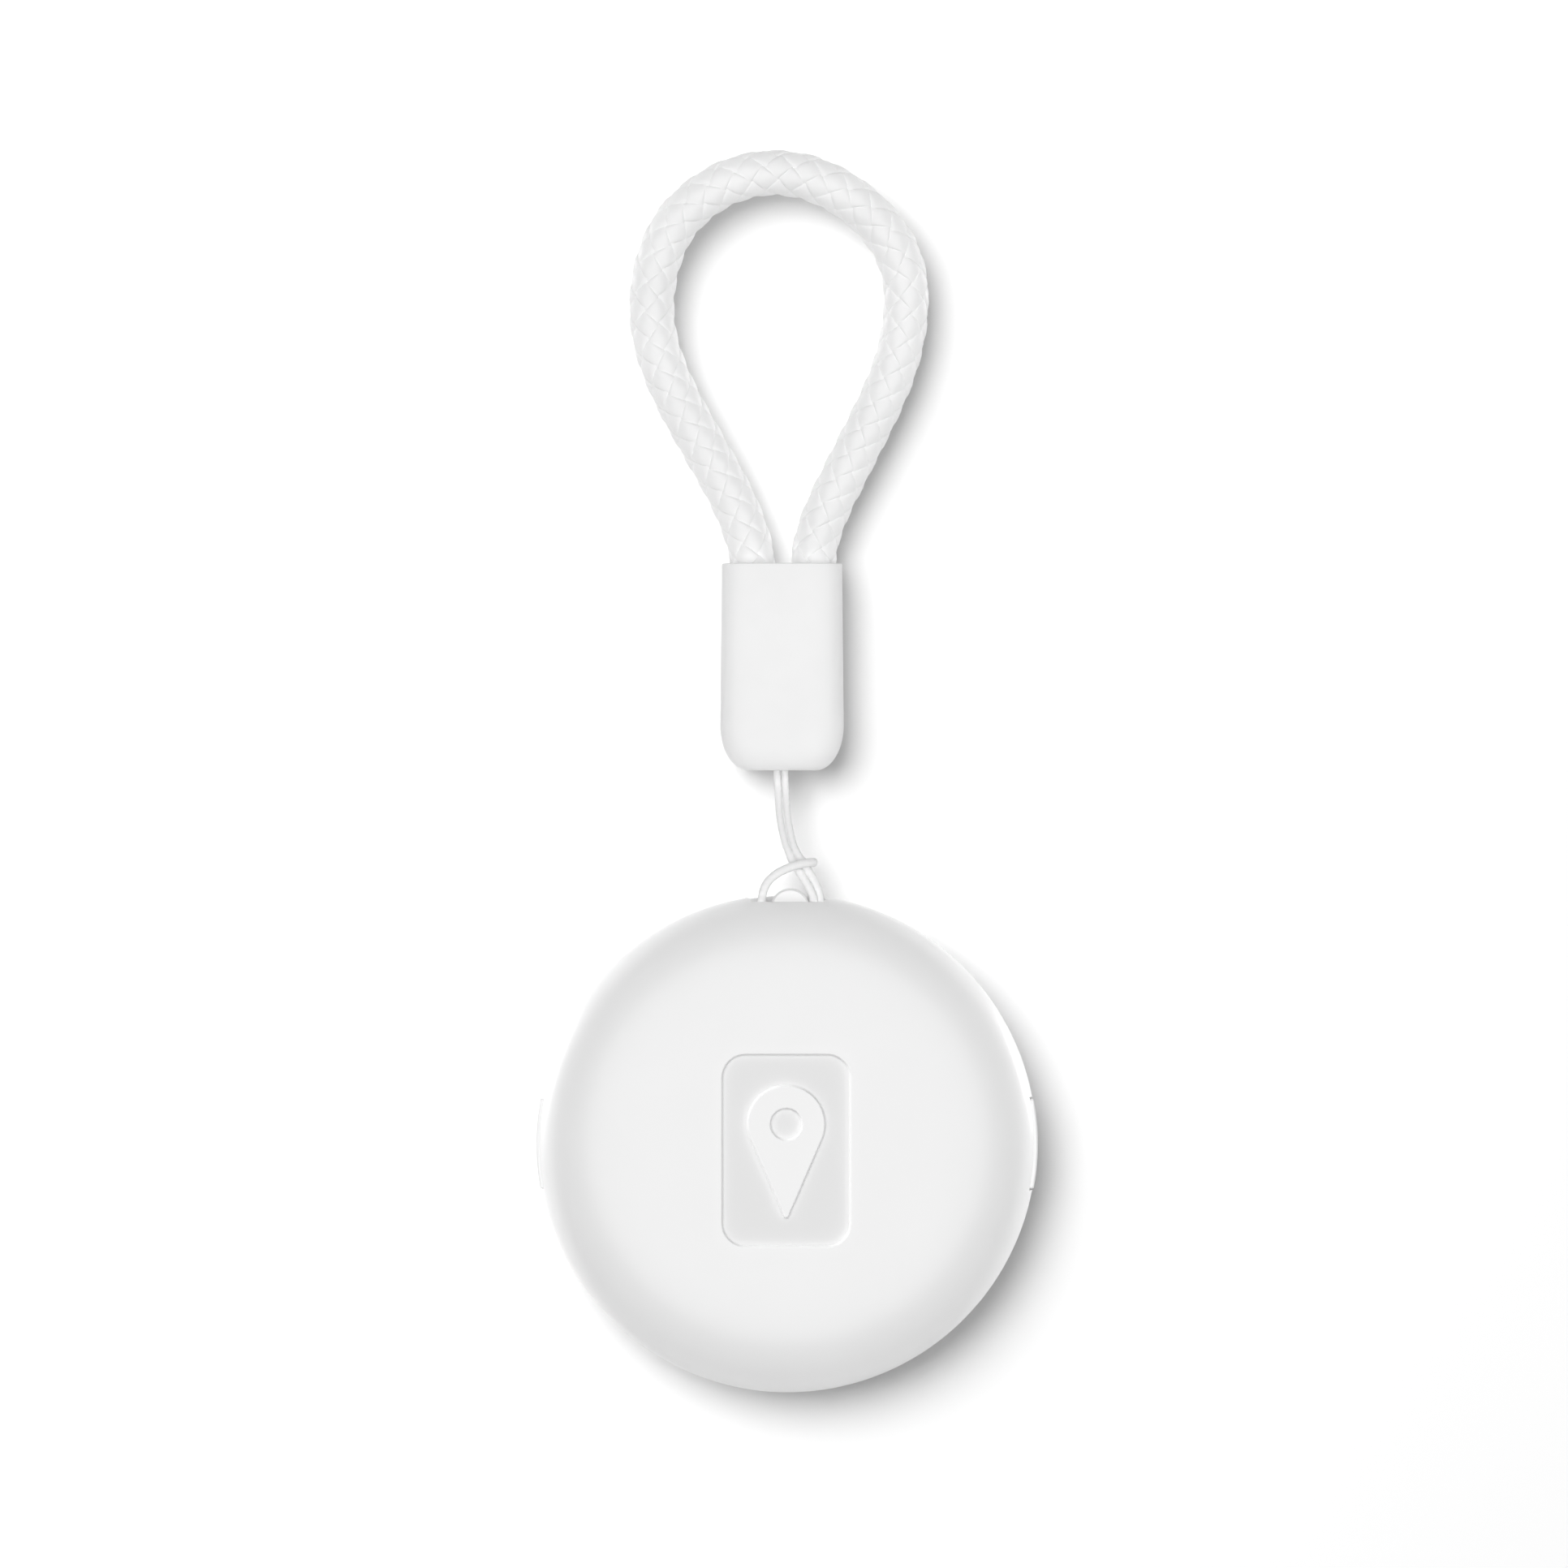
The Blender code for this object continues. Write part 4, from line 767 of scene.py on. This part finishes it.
def make_rear_cover(look):
    """The dished cover, with its pillar for the string, screw bosses and sound holes."""
    outer = [(0, 0), *dish_profile(FLAT_RADIUS, 0, CASE_RADIUS, REAR_RIM_Z, 48)]
    inner = dish_profile(FLAT_RADIUS - WALL / 2, WALL, CASE_RADIUS - WALL, REAR_RIM_Z, 32)
    cover = turned("rear_shell", outer + inner[::-1] + [(0, WALL)], look, RIM_STEPS)
    half = WALL / 2
    block = rod("pocket_block", PILLAR_CENTRE, POCKET_BLOCK_RADIUS, half / 2, REAR_RIM_Z - 0.02)
    dish = [(0, half), *dish_profile(FLAT_RADIUS, half, CASE_RADIUS - half, REAR_RIM_Z, 40), (0, REAR_RIM_Z)]
    carve(block, [turned("dish_solid", dish)], "INTERSECT")
    carve(cover, [block], "UNION")
    carve(cover, [rod("pocket", PILLAR_CENTRE, POCKET_RADIUS, POCKET_FLOOR, CASE_HEIGHT),
                  notch_tool(POCKET_FLOOR + 0.02, CASE_HEIGHT)])
    pillar = [(0, POCKET_FLOOR - 1), (PILLAR_RADIUS, POCKET_FLOOR - 1), (PILLAR_RADIUS, PILLAR_TOP - 0.15),
              (PILLAR_RADIUS - 0.15, PILLAR_TOP), (0, PILLAR_TOP)]
    carve(cover, [turned("pillar", pillar, None, 96, PILLAR_CENTRE)], "UNION")
    carve(cover, [rod("boss", centre, BOSS_RADIUS, half, BOSS_TOP) for centre in BOSS_CENTRES], "UNION")
    carve(cover, [rod("hole", centre, SCREW_HOLE_RADIUS, SCREW_HOLE_FLOOR, 4.0) for centre in BOSS_CENTRES])
    carve(cover, button_opening())
    holes = []
    for number in range(SOUND_HOLE_COUNT):
        angle = -math.pi / 2 + (number - (SOUND_HOLE_COUNT - 1) / 2) * SOUND_HOLE_STEP
        centre = (SOUND_HOLE_RING * math.cos(angle), SOUND_HOLE_RING * math.sin(angle))
        flare = SOUND_HOLE_RADIUS + 0.14
        profile = [(0, -1), (flare + 1, -1), (flare, 0), (SOUND_HOLE_RADIUS, 0.14), (SOUND_HOLE_RADIUS, 2.4),
                   (0, 2.4)]
        holes.append(turned("sound_hole", profile, None, 40, centre))
    carve(cover, holes)
    smooth_shade(cover)
    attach(cover, "case")
    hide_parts("rear_cover")
    return cover


def make_side_button(look):
    """The key's outside follows the rim, and its flange keeps it in the case."""
    inner = FLANGE_X[0] + 0.25
    outline = ring_sector(inner, BUTTON_FACE, BUTTON_LENGTH / 2, 0.0, 40)
    outline = [(max(x, FLANGE_X[0] + 0.1), y) for x, y in outline]
    button = bevelled(prism("button_key", outline, BUTTON_BOTTOM, BUTTON_TOP, look), 0.16, 4)
    step = (FLANGE_X[0] + FLANGE_X[1]) / 2 + 0.8
    carve(button, [box_of("under", (16.0, -6, BUTTON_BOTTOM - 1), (step, 6, FLANGE_Z[0]))])
    flange = box_of("flange", (FLANGE_X[0], -FLANGE_LENGTH / 2, FLANGE_Z[0]),
                    (FLANGE_X[1], FLANGE_LENGTH / 2, FLANGE_Z[1]))
    carve(button, [bevelled(flange, 0.06, 2)], "UNION")
    smooth_shade(button, math.radians(50))
    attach(button, "button")
    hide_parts("side_button")


# ---- sleeve

SLEEVE_SIDES = 160
LIP_ROUND = 0.12  # rounding of the sleeve's open edge


def section(half_width, half_depth, y):
    """The sleeve's centred section of these half sizes, at y."""
    u, v = squared_circle(SLEEVE_SIDES, SLEEVE_SQUARENESS)
    x, z = SLEEVE_CENTRE
    return np.column_stack([x + half_width * u, np.full(SLEEVE_SIDES, y), z + half_depth * v])


def sleeve_section(y, shrink=0.0):
    """The sleeve's outside at y, rounded off towards the string and smaller by shrink all round."""
    start, end = SLEEVE_Y
    share = (y - start) / (end - start)
    half_width = SLEEVE_HALF_WIDTH[0] + (SLEEVE_HALF_WIDTH[1] - SLEEVE_HALF_WIDTH[0]) * share
    half_depth = SLEEVE_HALF_DEPTH
    corner_x, corner_y = SLEEVE_CORNER
    if y < start + corner_y:
        drop = 1 - math.sqrt(max(0.0, 1 - ((start + corner_y - y) / corner_y) ** 2))
        half_width -= corner_x * drop
        half_depth -= SLEEVE_DROP * drop
    return section(half_width - shrink, half_depth - shrink, y)


def make_sleeve(look):
    """The moulded sleeve: its outside from the string's end to its open edge, then its cavity."""
    start, end = SLEEVE_Y
    corner = SLEEVE_CORNER[1]
    rings = []
    for turn in np.linspace(0, math.pi / 2, 41):
        rings.append(sleeve_section(start + corner * (1 - math.cos(turn))))
    rings += [sleeve_section(y) for y in np.linspace(start + corner, end - LIP_ROUND, 12)[1:]]
    for turn in np.linspace(0, math.pi / 2, 6)[1:]:
        rings.append(sleeve_section(end - LIP_ROUND * (1 - math.sin(turn)), LIP_ROUND * (1 - math.cos(turn))))
    width, depth = SLEEVE_CAVITY
    for turn in np.linspace(0, math.pi / 2, 5)[1:]:
        flare = LIP_ROUND * (1 - math.sin(turn))
        rings.append(section(width + flare, depth + flare, end - LIP_ROUND * (1 - math.cos(turn))))
    rings += [section(width, depth, y) for y in (end - 1.5, SLEEVE_FLOOR_Y + 1.5)]
    rings += [section(width - 0.3, depth - 0.12, SLEEVE_FLOOR_Y + 0.5),
              section(width - 1.0, depth - 0.4, SLEEVE_FLOOR_Y)]
    faces = capped(len(rings), SLEEVE_SIDES)
    sleeve = turn_outwards(mesh_object("sleeve", np.vstack(rings), faces, look))
    (x0, x1), (z0, z1) = STRING_HOLE
    hole = bevelled(box_of("string_hole", (x0, start - 1, z0), (x1, SLEEVE_FLOOR_Y + 1.7, z1)), 0.3, 5)
    carve(sleeve, [hole])
    smooth_shade(sleeve, math.radians(45))
    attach(sleeve, "lanyard")
    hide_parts("ferrule_sleeve")
    return sleeve


# ---- surroundings

FLOOR_WHITE = 0.80
FLOOR_HALF = 1500.0
FLOOR_Z = -0.02  # a hair below the object, so that the two never share a plane


def make_floor():
    """A plain pale floor that is see-through from below."""
    look = Look("floor", (FLOOR_WHITE,) * 3, 0.9, specular=0.1)
    broad = look.noise(9.0, 2.0)
    look.to("Base Color", look.ramp(broad, (FLOOR_WHITE - 0.005,) * 3, (FLOOR_WHITE + 0.005,) * 3))
    geometry = look.nodes.new("ShaderNodeNewGeometry")
    clear = look.nodes.new("ShaderNodeBsdfTransparent")
    mix = look.nodes.new("ShaderNodeMixShader")
    look.links.new(geometry.outputs["Backfacing"], mix.inputs["Fac"])
    look.links.new(look.shader.outputs["BSDF"], mix.inputs[1])
    look.links.new(clear.outputs["BSDF"], mix.inputs[2])
    look.links.new(mix.outputs["Shader"], look.nodes["Material Output"].inputs["Surface"])
    verts = [(FLOOR_HALF * u, FLOOR_HALF * v, FLOOR_Z) for u, v in CORNERS]
    floor = mesh_object("floor", verts, [(0, 1, 2, 3)], look.material, None)
    return floor


WORLD_BASE = 0.05
WORLD_BELOW = 0.75
WORLD_SIDES = 0.35  # added at the left and right, near the horizon
SIDE_REACH = (0.55, 0.85)  # |x| of the sky's direction where the sides start and are whole
SIDE_HEIGHT = (0.02, 0.28)  # height of the sky's direction where they start and stop fading


def make_world():
    """A dim sky with a white panel low at the left and at the right."""
    world = bpy.data.worlds.new("studio")
    bpy.context.scene.world = world
    world.use_nodes = True
    nodes, links = world.node_tree.nodes, world.node_tree.links
    split = nodes.new("ShaderNodeSeparateXYZ")
    links.new(nodes.new("ShaderNodeTexCoord").outputs["Generated"], split.inputs["Vector"])

    def maths(operation, first, second=0.0):
        node = nodes.new("ShaderNodeMath")
        node.operation = operation
        for socket, value in zip(node.inputs, (first, second)):
            if isinstance(value, float):
                socket.default_value = value
            else:
                links.new(value, socket)
        return node.outputs["Value"]

    def between(value, start, end, low, high):
        node = nodes.new("ShaderNodeMapRange")
        node.interpolation_type = "SMOOTHSTEP"
        for name, number in (("From Min", start), ("From Max", end), ("To Min", low), ("To Max", high)):
            node.inputs[name].default_value = number
        links.new(value, node.inputs["Value"])
        return node.outputs["Result"]

    side = between(maths("ABSOLUTE", split.outputs["X"]), *SIDE_REACH, 0.0, 1.0)
    low = between(split.outputs["Z"], *SIDE_HEIGHT, 1.0, 0.0)
    panels = maths("MULTIPLY", maths("MULTIPLY", side, low), WORLD_SIDES)
    # Only a view from below the floor, which is see-through that way, meets the sky's lower half.
    below = between(split.outputs["Z"], -0.01, 0.0, WORLD_BELOW, 0.0)
    background = nodes["Background"]
    background.inputs["Color"].default_value = (1.0, 1.0, 1.0, 1.0)
    links.new(maths("ADD", maths("ADD", panels, below), WORLD_BASE), background.inputs["Strength"])


TOP_HEIGHT = 0.95  # metres, as for the other lights
TOP_HALF_ANGLE = math.radians(40)
TOP_RADIANCE = 2.15
FILL_RADIANCE = 0.76  # of the overhead light that falls on the floor only
KEY_AZIMUTH = math.radians(135)
KEY_ELEVATION = math.radians(60)
KEY_DISTANCE = 0.8
KEY_HALF_ANGLE = math.radians(25)
KEY_RADIANCE = 6.4
BOUNCES = ((15, 1.8), (165, 2.0))  # azimuth in degrees, and strength on the case
BOUNCE_ELEVATION = math.radians(-33)
BOUNCE_ON_BRAID = 0.3  # share of it
UNDER_STRENGTH = 0.9
RAKE_AZIMUTH = math.radians(145)
RAKE_ELEVATION = math.radians(1)
RAKE_STRENGTH = 2.0


def direction(azimuth, elevation):
    return Vector((math.cos(azimuth) * math.cos(elevation), math.sin(azimuth) * math.cos(elevation),
                   math.sin(elevation)))


def add_light(name, kind, out, distance, receivers):
    """A light aimed at the object's middle, which lights only the receivers."""
    data = bpy.data.lights.new(name, kind)
    light = link(bpy.data.objects.new(name, data))
    light.location = Vector((VIEW_CENTRE[0], VIEW_CENTRE[1], 0)) * MM + out * distance
    light.rotation_mode = "QUATERNION"
    light.rotation_quaternion = (-out).to_track_quat("-Z", "Y")
    collection = bpy.data.collections.new(name + "_receivers")
    for obj in receivers:
        collection.objects.link(obj)
    light.light_linking.receiver_collection = collection
    return data


def softbox(name, azimuth, elevation, distance, half_angle, radiance, receivers):
    radius = distance * math.tan(half_angle)
    data = add_light(name, "AREA", direction(azimuth, elevation), distance, receivers)
    data.shape = "DISK"
    data.size = 2 * radius
    data.energy = radiance * math.pi * math.pi * radius ** 2


def soft_sun(name, out, spread, strength, receivers):
    """A distant light that throws no shadow, spread being in degrees."""
    data = add_light(name, "SUN", out, 1.0, receivers)
    data.energy = strength
    data.angle = math.radians(spread)
    data.use_shadow = False


def make_lights(floor, pieces):
    """The object is lit from straight above, the floor mostly from the upper left, which gives the shadow."""
    objects = [o for o in bpy.context.scene.objects if o.type == "MESH" and o is not floor]
    softbox("top_light", 0.0, math.pi / 2, TOP_HEIGHT, TOP_HALF_ANGLE, TOP_RADIANCE, objects)
    softbox("fill_light", 0.0, math.pi / 2, TOP_HEIGHT, TOP_HALF_ANGLE, FILL_RADIANCE, [floor])
    softbox("key_light", KEY_AZIMUTH, KEY_ELEVATION, KEY_DISTANCE, KEY_HALF_ANGLE, KEY_RADIANCE, [floor])
    # White cards low at the left and the right light the rims from below.
    for number, (azimuth, strength) in enumerate(BOUNCES, 1):
        out = direction(math.radians(azimuth), BOUNCE_ELEVATION)
        soft_sun(f"case_bounce_{number}", out, 12, strength, pieces["case"])
        soft_sun(f"braid_bounce_{number}", out, 12, strength * BOUNCE_ON_BRAID, pieces["braid"])
    # Undersides that lie on the floor would be black without a light of their own.
    soft_sun("under_light", Vector((0, 0, -1)), 40, UNDER_STRENGTH, pieces["under"])
    # A raking light picks out the edges of the sunk panel and of the pin.
    soft_sun("rake_light", direction(RAKE_AZIMUTH, RAKE_ELEVATION), 2, RAKE_STRENGTH, pieces["panel"])


# ---- what the frame's own nodes look like

NODE_SLOTS = {
    "steel": ["battery_can", "battery_cap", "battery_positive_clip", "battery_negative_spring",
              "board_screw_1", "board_screw_2", "board_screw_3", "switch_frame", "main_crystal",
              "clock_crystal", "crimp_collar"],
    "brass": ["piezo_plate", "piezo_spring_1", "piezo_spring_2"],
    "ceramic": ["piezo_ceramic", "chip_antenna"],
    "capacitor": ["bulk_capacitor"] + [f"capacitor_{n}" for n in range(1, 7)],
    "board": ["circuit_board"],
    "black_moulding": ["battery_gasket", "battery_holder", "switch_body", "radio_chip", "power_inductor"],
    "white_moulding": ["switch_plunger", "status_led"],
    "electrode": ["battery_electrodes"],
    "adhesive": ["piezo_adhesive"],
}


def metal(name, colour, roughness, stretch=None, centre=None):
    """A metal: brushed along one way if stretched, or turned round a centre, with faint handling marks."""
    look = Look(name, colour, roughness, metallic=1.0)
    broad = look.noise(220.0, 3.0)
    look.to("Base Color", look.ramp(broad, tint(colour, 0.96), tint(colour, 1.03)))
    marks = look.noise(1100.0, 3.0, 0.5, stretch)
    look.to("Roughness", look.ramp(marks, roughness - 0.03, roughness + 0.05))
    if centre:
        mapping = look.nodes.new("ShaderNodeMapping")
        look.set(mapping, "Location", (-centre[0] * MM, -centre[1] * MM, 0.0))
        look.links.new(look.place, mapping.inputs["Vector"])
        rings = look.nodes.new("ShaderNodeTexWave")
        rings.wave_type = "RINGS"
        rings.rings_direction = "Z"
        look.set(rings, "Scale", 900.0)
        look.set(rings, "Distortion", 1.5)
        look.links.new(mapping.outputs["Vector"], rings.inputs["Vector"])
        look.bump(rings.outputs["Fac"], 0.002)
    look.bump(marks, 0.0008)
    return look.material


def fired(name, colour, speck, roughness, coarse):
    """A fired or pressed powder: specks of a second colour and a rough grain."""
    look = Look(name, colour, roughness)
    look.to("Base Color", look.ramp(look.noise(coarse, 5.0, 0.7), colour, speck, 0.45, 0.62))
    look.to("Roughness", look.ramp(look.noise(900.0, 3.0), roughness - 0.08, roughness + 0.08))
    look.bump(look.noise(2 * coarse, 3.0), 0.008)
    return look.material


def solder_mask():
    """The board's lacquer: dark green over glass cloth, whose weave shows through a little."""
    look = Look("board_green", (0.03, 0.16, 0.09), 0.32)
    weave = look.noise(2600.0, 1.0, 0.5, (1.0, 0.12, 1.0))
    look.to("Base Color", look.ramp(weave, (0.024, 0.135, 0.075), (0.034, 0.18, 0.10)))
    look.to("Roughness", look.ramp(look.noise(500.0, 4.0), 0.26, 0.4))
    look.bump(look.noise(2600.0, 1.0, 0.5, (0.12, 1.0, 1.0)), 0.005)
    return look.material


def dress_nodes():
    """Gives each node that is seen as it is the look of its slot, and returns the looks."""
    looks = {
        "steel": metal("steel", (0.62, 0.62, 0.61), 0.3),
        "brass": metal("brass", (0.78, 0.57, 0.26), 0.3, (1.0, 0.08, 1.0)),
        "ceramic": fired("ceramic", (0.78, 0.76, 0.70), (0.66, 0.64, 0.58), 0.55, 2600.0),
        "capacitor": fired("capacitor_tan", (0.42, 0.29, 0.17), (0.33, 0.22, 0.13), 0.5, 3200.0),
        "board": solder_mask(),
        "black_moulding": plastic("black_moulding", (0.02, 0.02, 0.022), 0.5, 0.01, 5000.0, 0.2),
        "white_moulding": plastic("white_moulding", (0.8, 0.8, 0.78), 0.45, 0.006, 5000.0, 0.02),
        "electrode": fired("electrode_grey", (0.08, 0.08, 0.08), (0.13, 0.13, 0.13), 0.85, 4000.0),
        "adhesive": plastic("adhesive_foam", (0.7, 0.7, 0.66), 0.85, 0.03, 3500.0, 0.05),
    }
    for slot, names in NODE_SLOTS.items():
        for name in names:
            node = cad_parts[name]
            node.data.materials.clear()
            node.data.materials.append(looks[slot])
    turned_steel = metal("steel_turned", (0.66, 0.66, 0.65), 0.24, None, CELL_CENTRE)
    for name in ("battery_can", "battery_cap"):
        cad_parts[name].data.materials[0] = turned_steel
    return looks


# ---- what the board carries besides its parts

CELL_CENTRE = (-3.0, -2.0)
BOARD_TOP = 3.1
CHIP_CENTRE = (11.0, 6.4)
CHIP_SIDE = 5.0
CHIP_LEADS = 8  # on each side
CHIP_LEAD_STEP = 0.55
TINNED_PARTS = (  # place, size, turn in degrees, length of each tinned end
    *(((11.7, y), (1.6, 0.8, 0.8), 0, 0.3) for y in (1.9, 0.3, -1.3, -2.9)),
    ((6.9, 10.1), (1.6, 0.8, 0.8), 90, 0.3), ((12.6, 10.4), (1.6, 0.8, 0.8), 40, 0.3),
    ((6.0, -12.9), (3.5, 2.8, 1.9), 25, 0.5), ((-6.2, 12.2), (7.0, 2.0, 0.9), 18, 0.7),
    ((0.4, 12.3), (1.6, 0.8, 0.6), 0, 0.3), ((9.7, -9.9), (3.0, 3.0, 1.5), -45, 0.45),
)
TRACKS = (  # corners of each track
    ((13.6, 6.0), (14.6, 6.0), (15.2, 4.4), (15.2, 3.4)), ((13.6, 7.4), (14.4, 7.4), (14.9, 8.0)),
    ((11.9, 3.8), (12.9, 2.8), (13.4, 2.8), (13.4, 1.9), (12.7, 1.9)),
    ((10.1, 3.8), (10.1, 1.1), (10.8, 0.3)), ((10.8, 3.8), (9.6, 2.4), (9.6, -0.6), (10.7, -1.3)),
    ((8.4, 7.9), (7.6, 8.5), (6.9, 8.5), (6.9, 9.2)), ((10.3, 9.0), (9.2, 10.1), (9.2, 11.0)),
    ((11.9, 9.0), (12.4, 9.6)), ((12.7, 0.3), (13.6, 0.3)), ((12.7, -2.9), (13.1, -4.2), (12.7, -5.2)),
    ((5.6, 12.1), (6.3, 11.2), (6.9, 11.0)), ((2.6, 12.4), (1.4, 12.3)), ((-0.6, 12.3), (-2.4, 13.2)),
    ((-9.8, 10.9), (-11.4, 10.5)), ((8.3, -11.6), (7.6, -11.9)), ((11.1, -8.6), (11.9, -8.4)),
    ((4.4, -13.7), (3.3, -13.9)), ((-13.9, 2.0), (-15.2, 1.2), (-15.2, -4.8), (-13.6, -8.2)),
)
TRACK_WIDTH = 0.2
VIAS = ((15.2, 3.4), (14.9, 8.0), (9.2, 11.0), (9.6, 1.0), (13.6, 0.3), (-11.4, 10.5), (3.3, -13.9),
        (-13.6, -8.2), (-2.4, 13.2), (13.0, -10.0), (11.9, -8.4), (-9.6, -12.6), (-7.4, 14.0))
VIA_PROFILE = ((0.32, -0.01), (0.30, 0.03), (0.17, 0.03), (0.15, -0.03))  # radius, height over the board


def offset(centre, along, across, turn):
    """The point that lies along and across from a centre, in a frame turned by turn radians."""
    c, s = math.cos(turn), math.sin(turn)
    return centre[0] + c * along - s * across, centre[1] + s * along + c * across


def boxes(name, items, edge, look):
    """One mesh of bevelled boxes, each (centre, size along and across, turn in radians, low, high)."""
    verts, faces = [], []
    for centre, (long, wide), turn, low, high in items:
        first = len(verts)
        for z in (low, high):
            for u, v in CORNERS:
                verts.append((*offset(centre, u * long / 2, v * wide / 2, turn), z))
        faces += [[first + i for i in face] for face in (
            (3, 2, 1, 0), (4, 5, 6, 7), (0, 1, 5, 4), (1, 2, 6, 5), (2, 3, 7, 6), (3, 0, 4, 7))]
    obj = mesh_object(name, verts, faces, look)
    return smooth_shade(bevelled(obj, edge, 2))


def make_board_details(looks):
    """Tinned ends on the small parts, the radio chip's leads, tracks, and vias."""
    tinned = []
    for place, (long, wide, tall), degrees, end in TINNED_PARTS:
        turn = math.radians(degrees)
        for side in (-1, 1):
            reach = (long - end) / 2 + 0.03
            centre = offset(place, side * reach, 0, turn)
            tinned.append((centre, (end + 0.02, wide + 0.06), turn, BOARD_TOP, BOARD_TOP + tall + 0.08))
            toe = offset(place, side * (reach + end / 2), 0, turn)
            tinned.append((toe, (0.34, wide + 0.1), turn, BOARD_TOP - 0.01, BOARD_TOP + 0.16))
    for side in range(4):
        turn = side * math.pi / 2
        for number in range(CHIP_LEADS):
            across = (number - (CHIP_LEADS - 1) / 2) * CHIP_LEAD_STEP
            centre = offset(CHIP_CENTRE, CHIP_SIDE / 2 + 0.08, across, turn)
            tinned.append((centre, (0.42, 0.26), turn, BOARD_TOP - 0.01, BOARD_TOP + 0.14))
    tin = boxes("board_solder", tinned, 0.04, metal("solder", (0.72, 0.73, 0.74), 0.28))

    runs = []
    for corners in TRACKS:
        for (x0, y0), (x1, y1) in zip(corners, corners[1:]):
            long = math.hypot(x1 - x0, y1 - y0) + TRACK_WIDTH
            runs.append((((x0 + x1) / 2, (y0 + y1) / 2), (long, TRACK_WIDTH), math.atan2(y1 - y0, x1 - x0),
                         BOARD_TOP - 0.02, BOARD_TOP + 0.025))
    green = plastic("track_green", (0.06, 0.27, 0.15), 0.3, 0.003, 4000.0, 0.05)
    tracks = boxes("board_tracks", runs, 0.012, green)

    verts, faces = [], []
    angles = np.linspace(0, math.tau, 24, endpoint=False)
    for x, y in VIAS:
        first = len(verts)
        for radius, rise in VIA_PROFILE:
            verts += [(x + radius * math.cos(a), y + radius * math.sin(a), BOARD_TOP + rise) for a in angles]
        faces += [[first + i for i in face] for face in ring_faces(4, 24)]
    vias = turn_outwards(mesh_object("board_vias", verts, faces, looks["brass"]))
    for obj, slot in ((tin, "steel"), (tracks, "board"), (vias, "brass")):
        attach(obj, "case")


def main():
    make_camera()
    looks = make_looks()
    make_string(looks["string"])
    braid = make_braid(looks["braid"])
    front, panel = make_front_cover(looks["shell"], looks["panel"])
    rear = make_rear_cover(looks["shell"])
    make_side_button(looks["shell"])
    sleeve = make_sleeve(looks["sleeve"])
    make_board_details(dress_nodes())
    make_world()
    make_lights(make_floor(), {"case": [front], "braid": [braid], "panel": [panel], "under": [rear, sleeve]})


main()
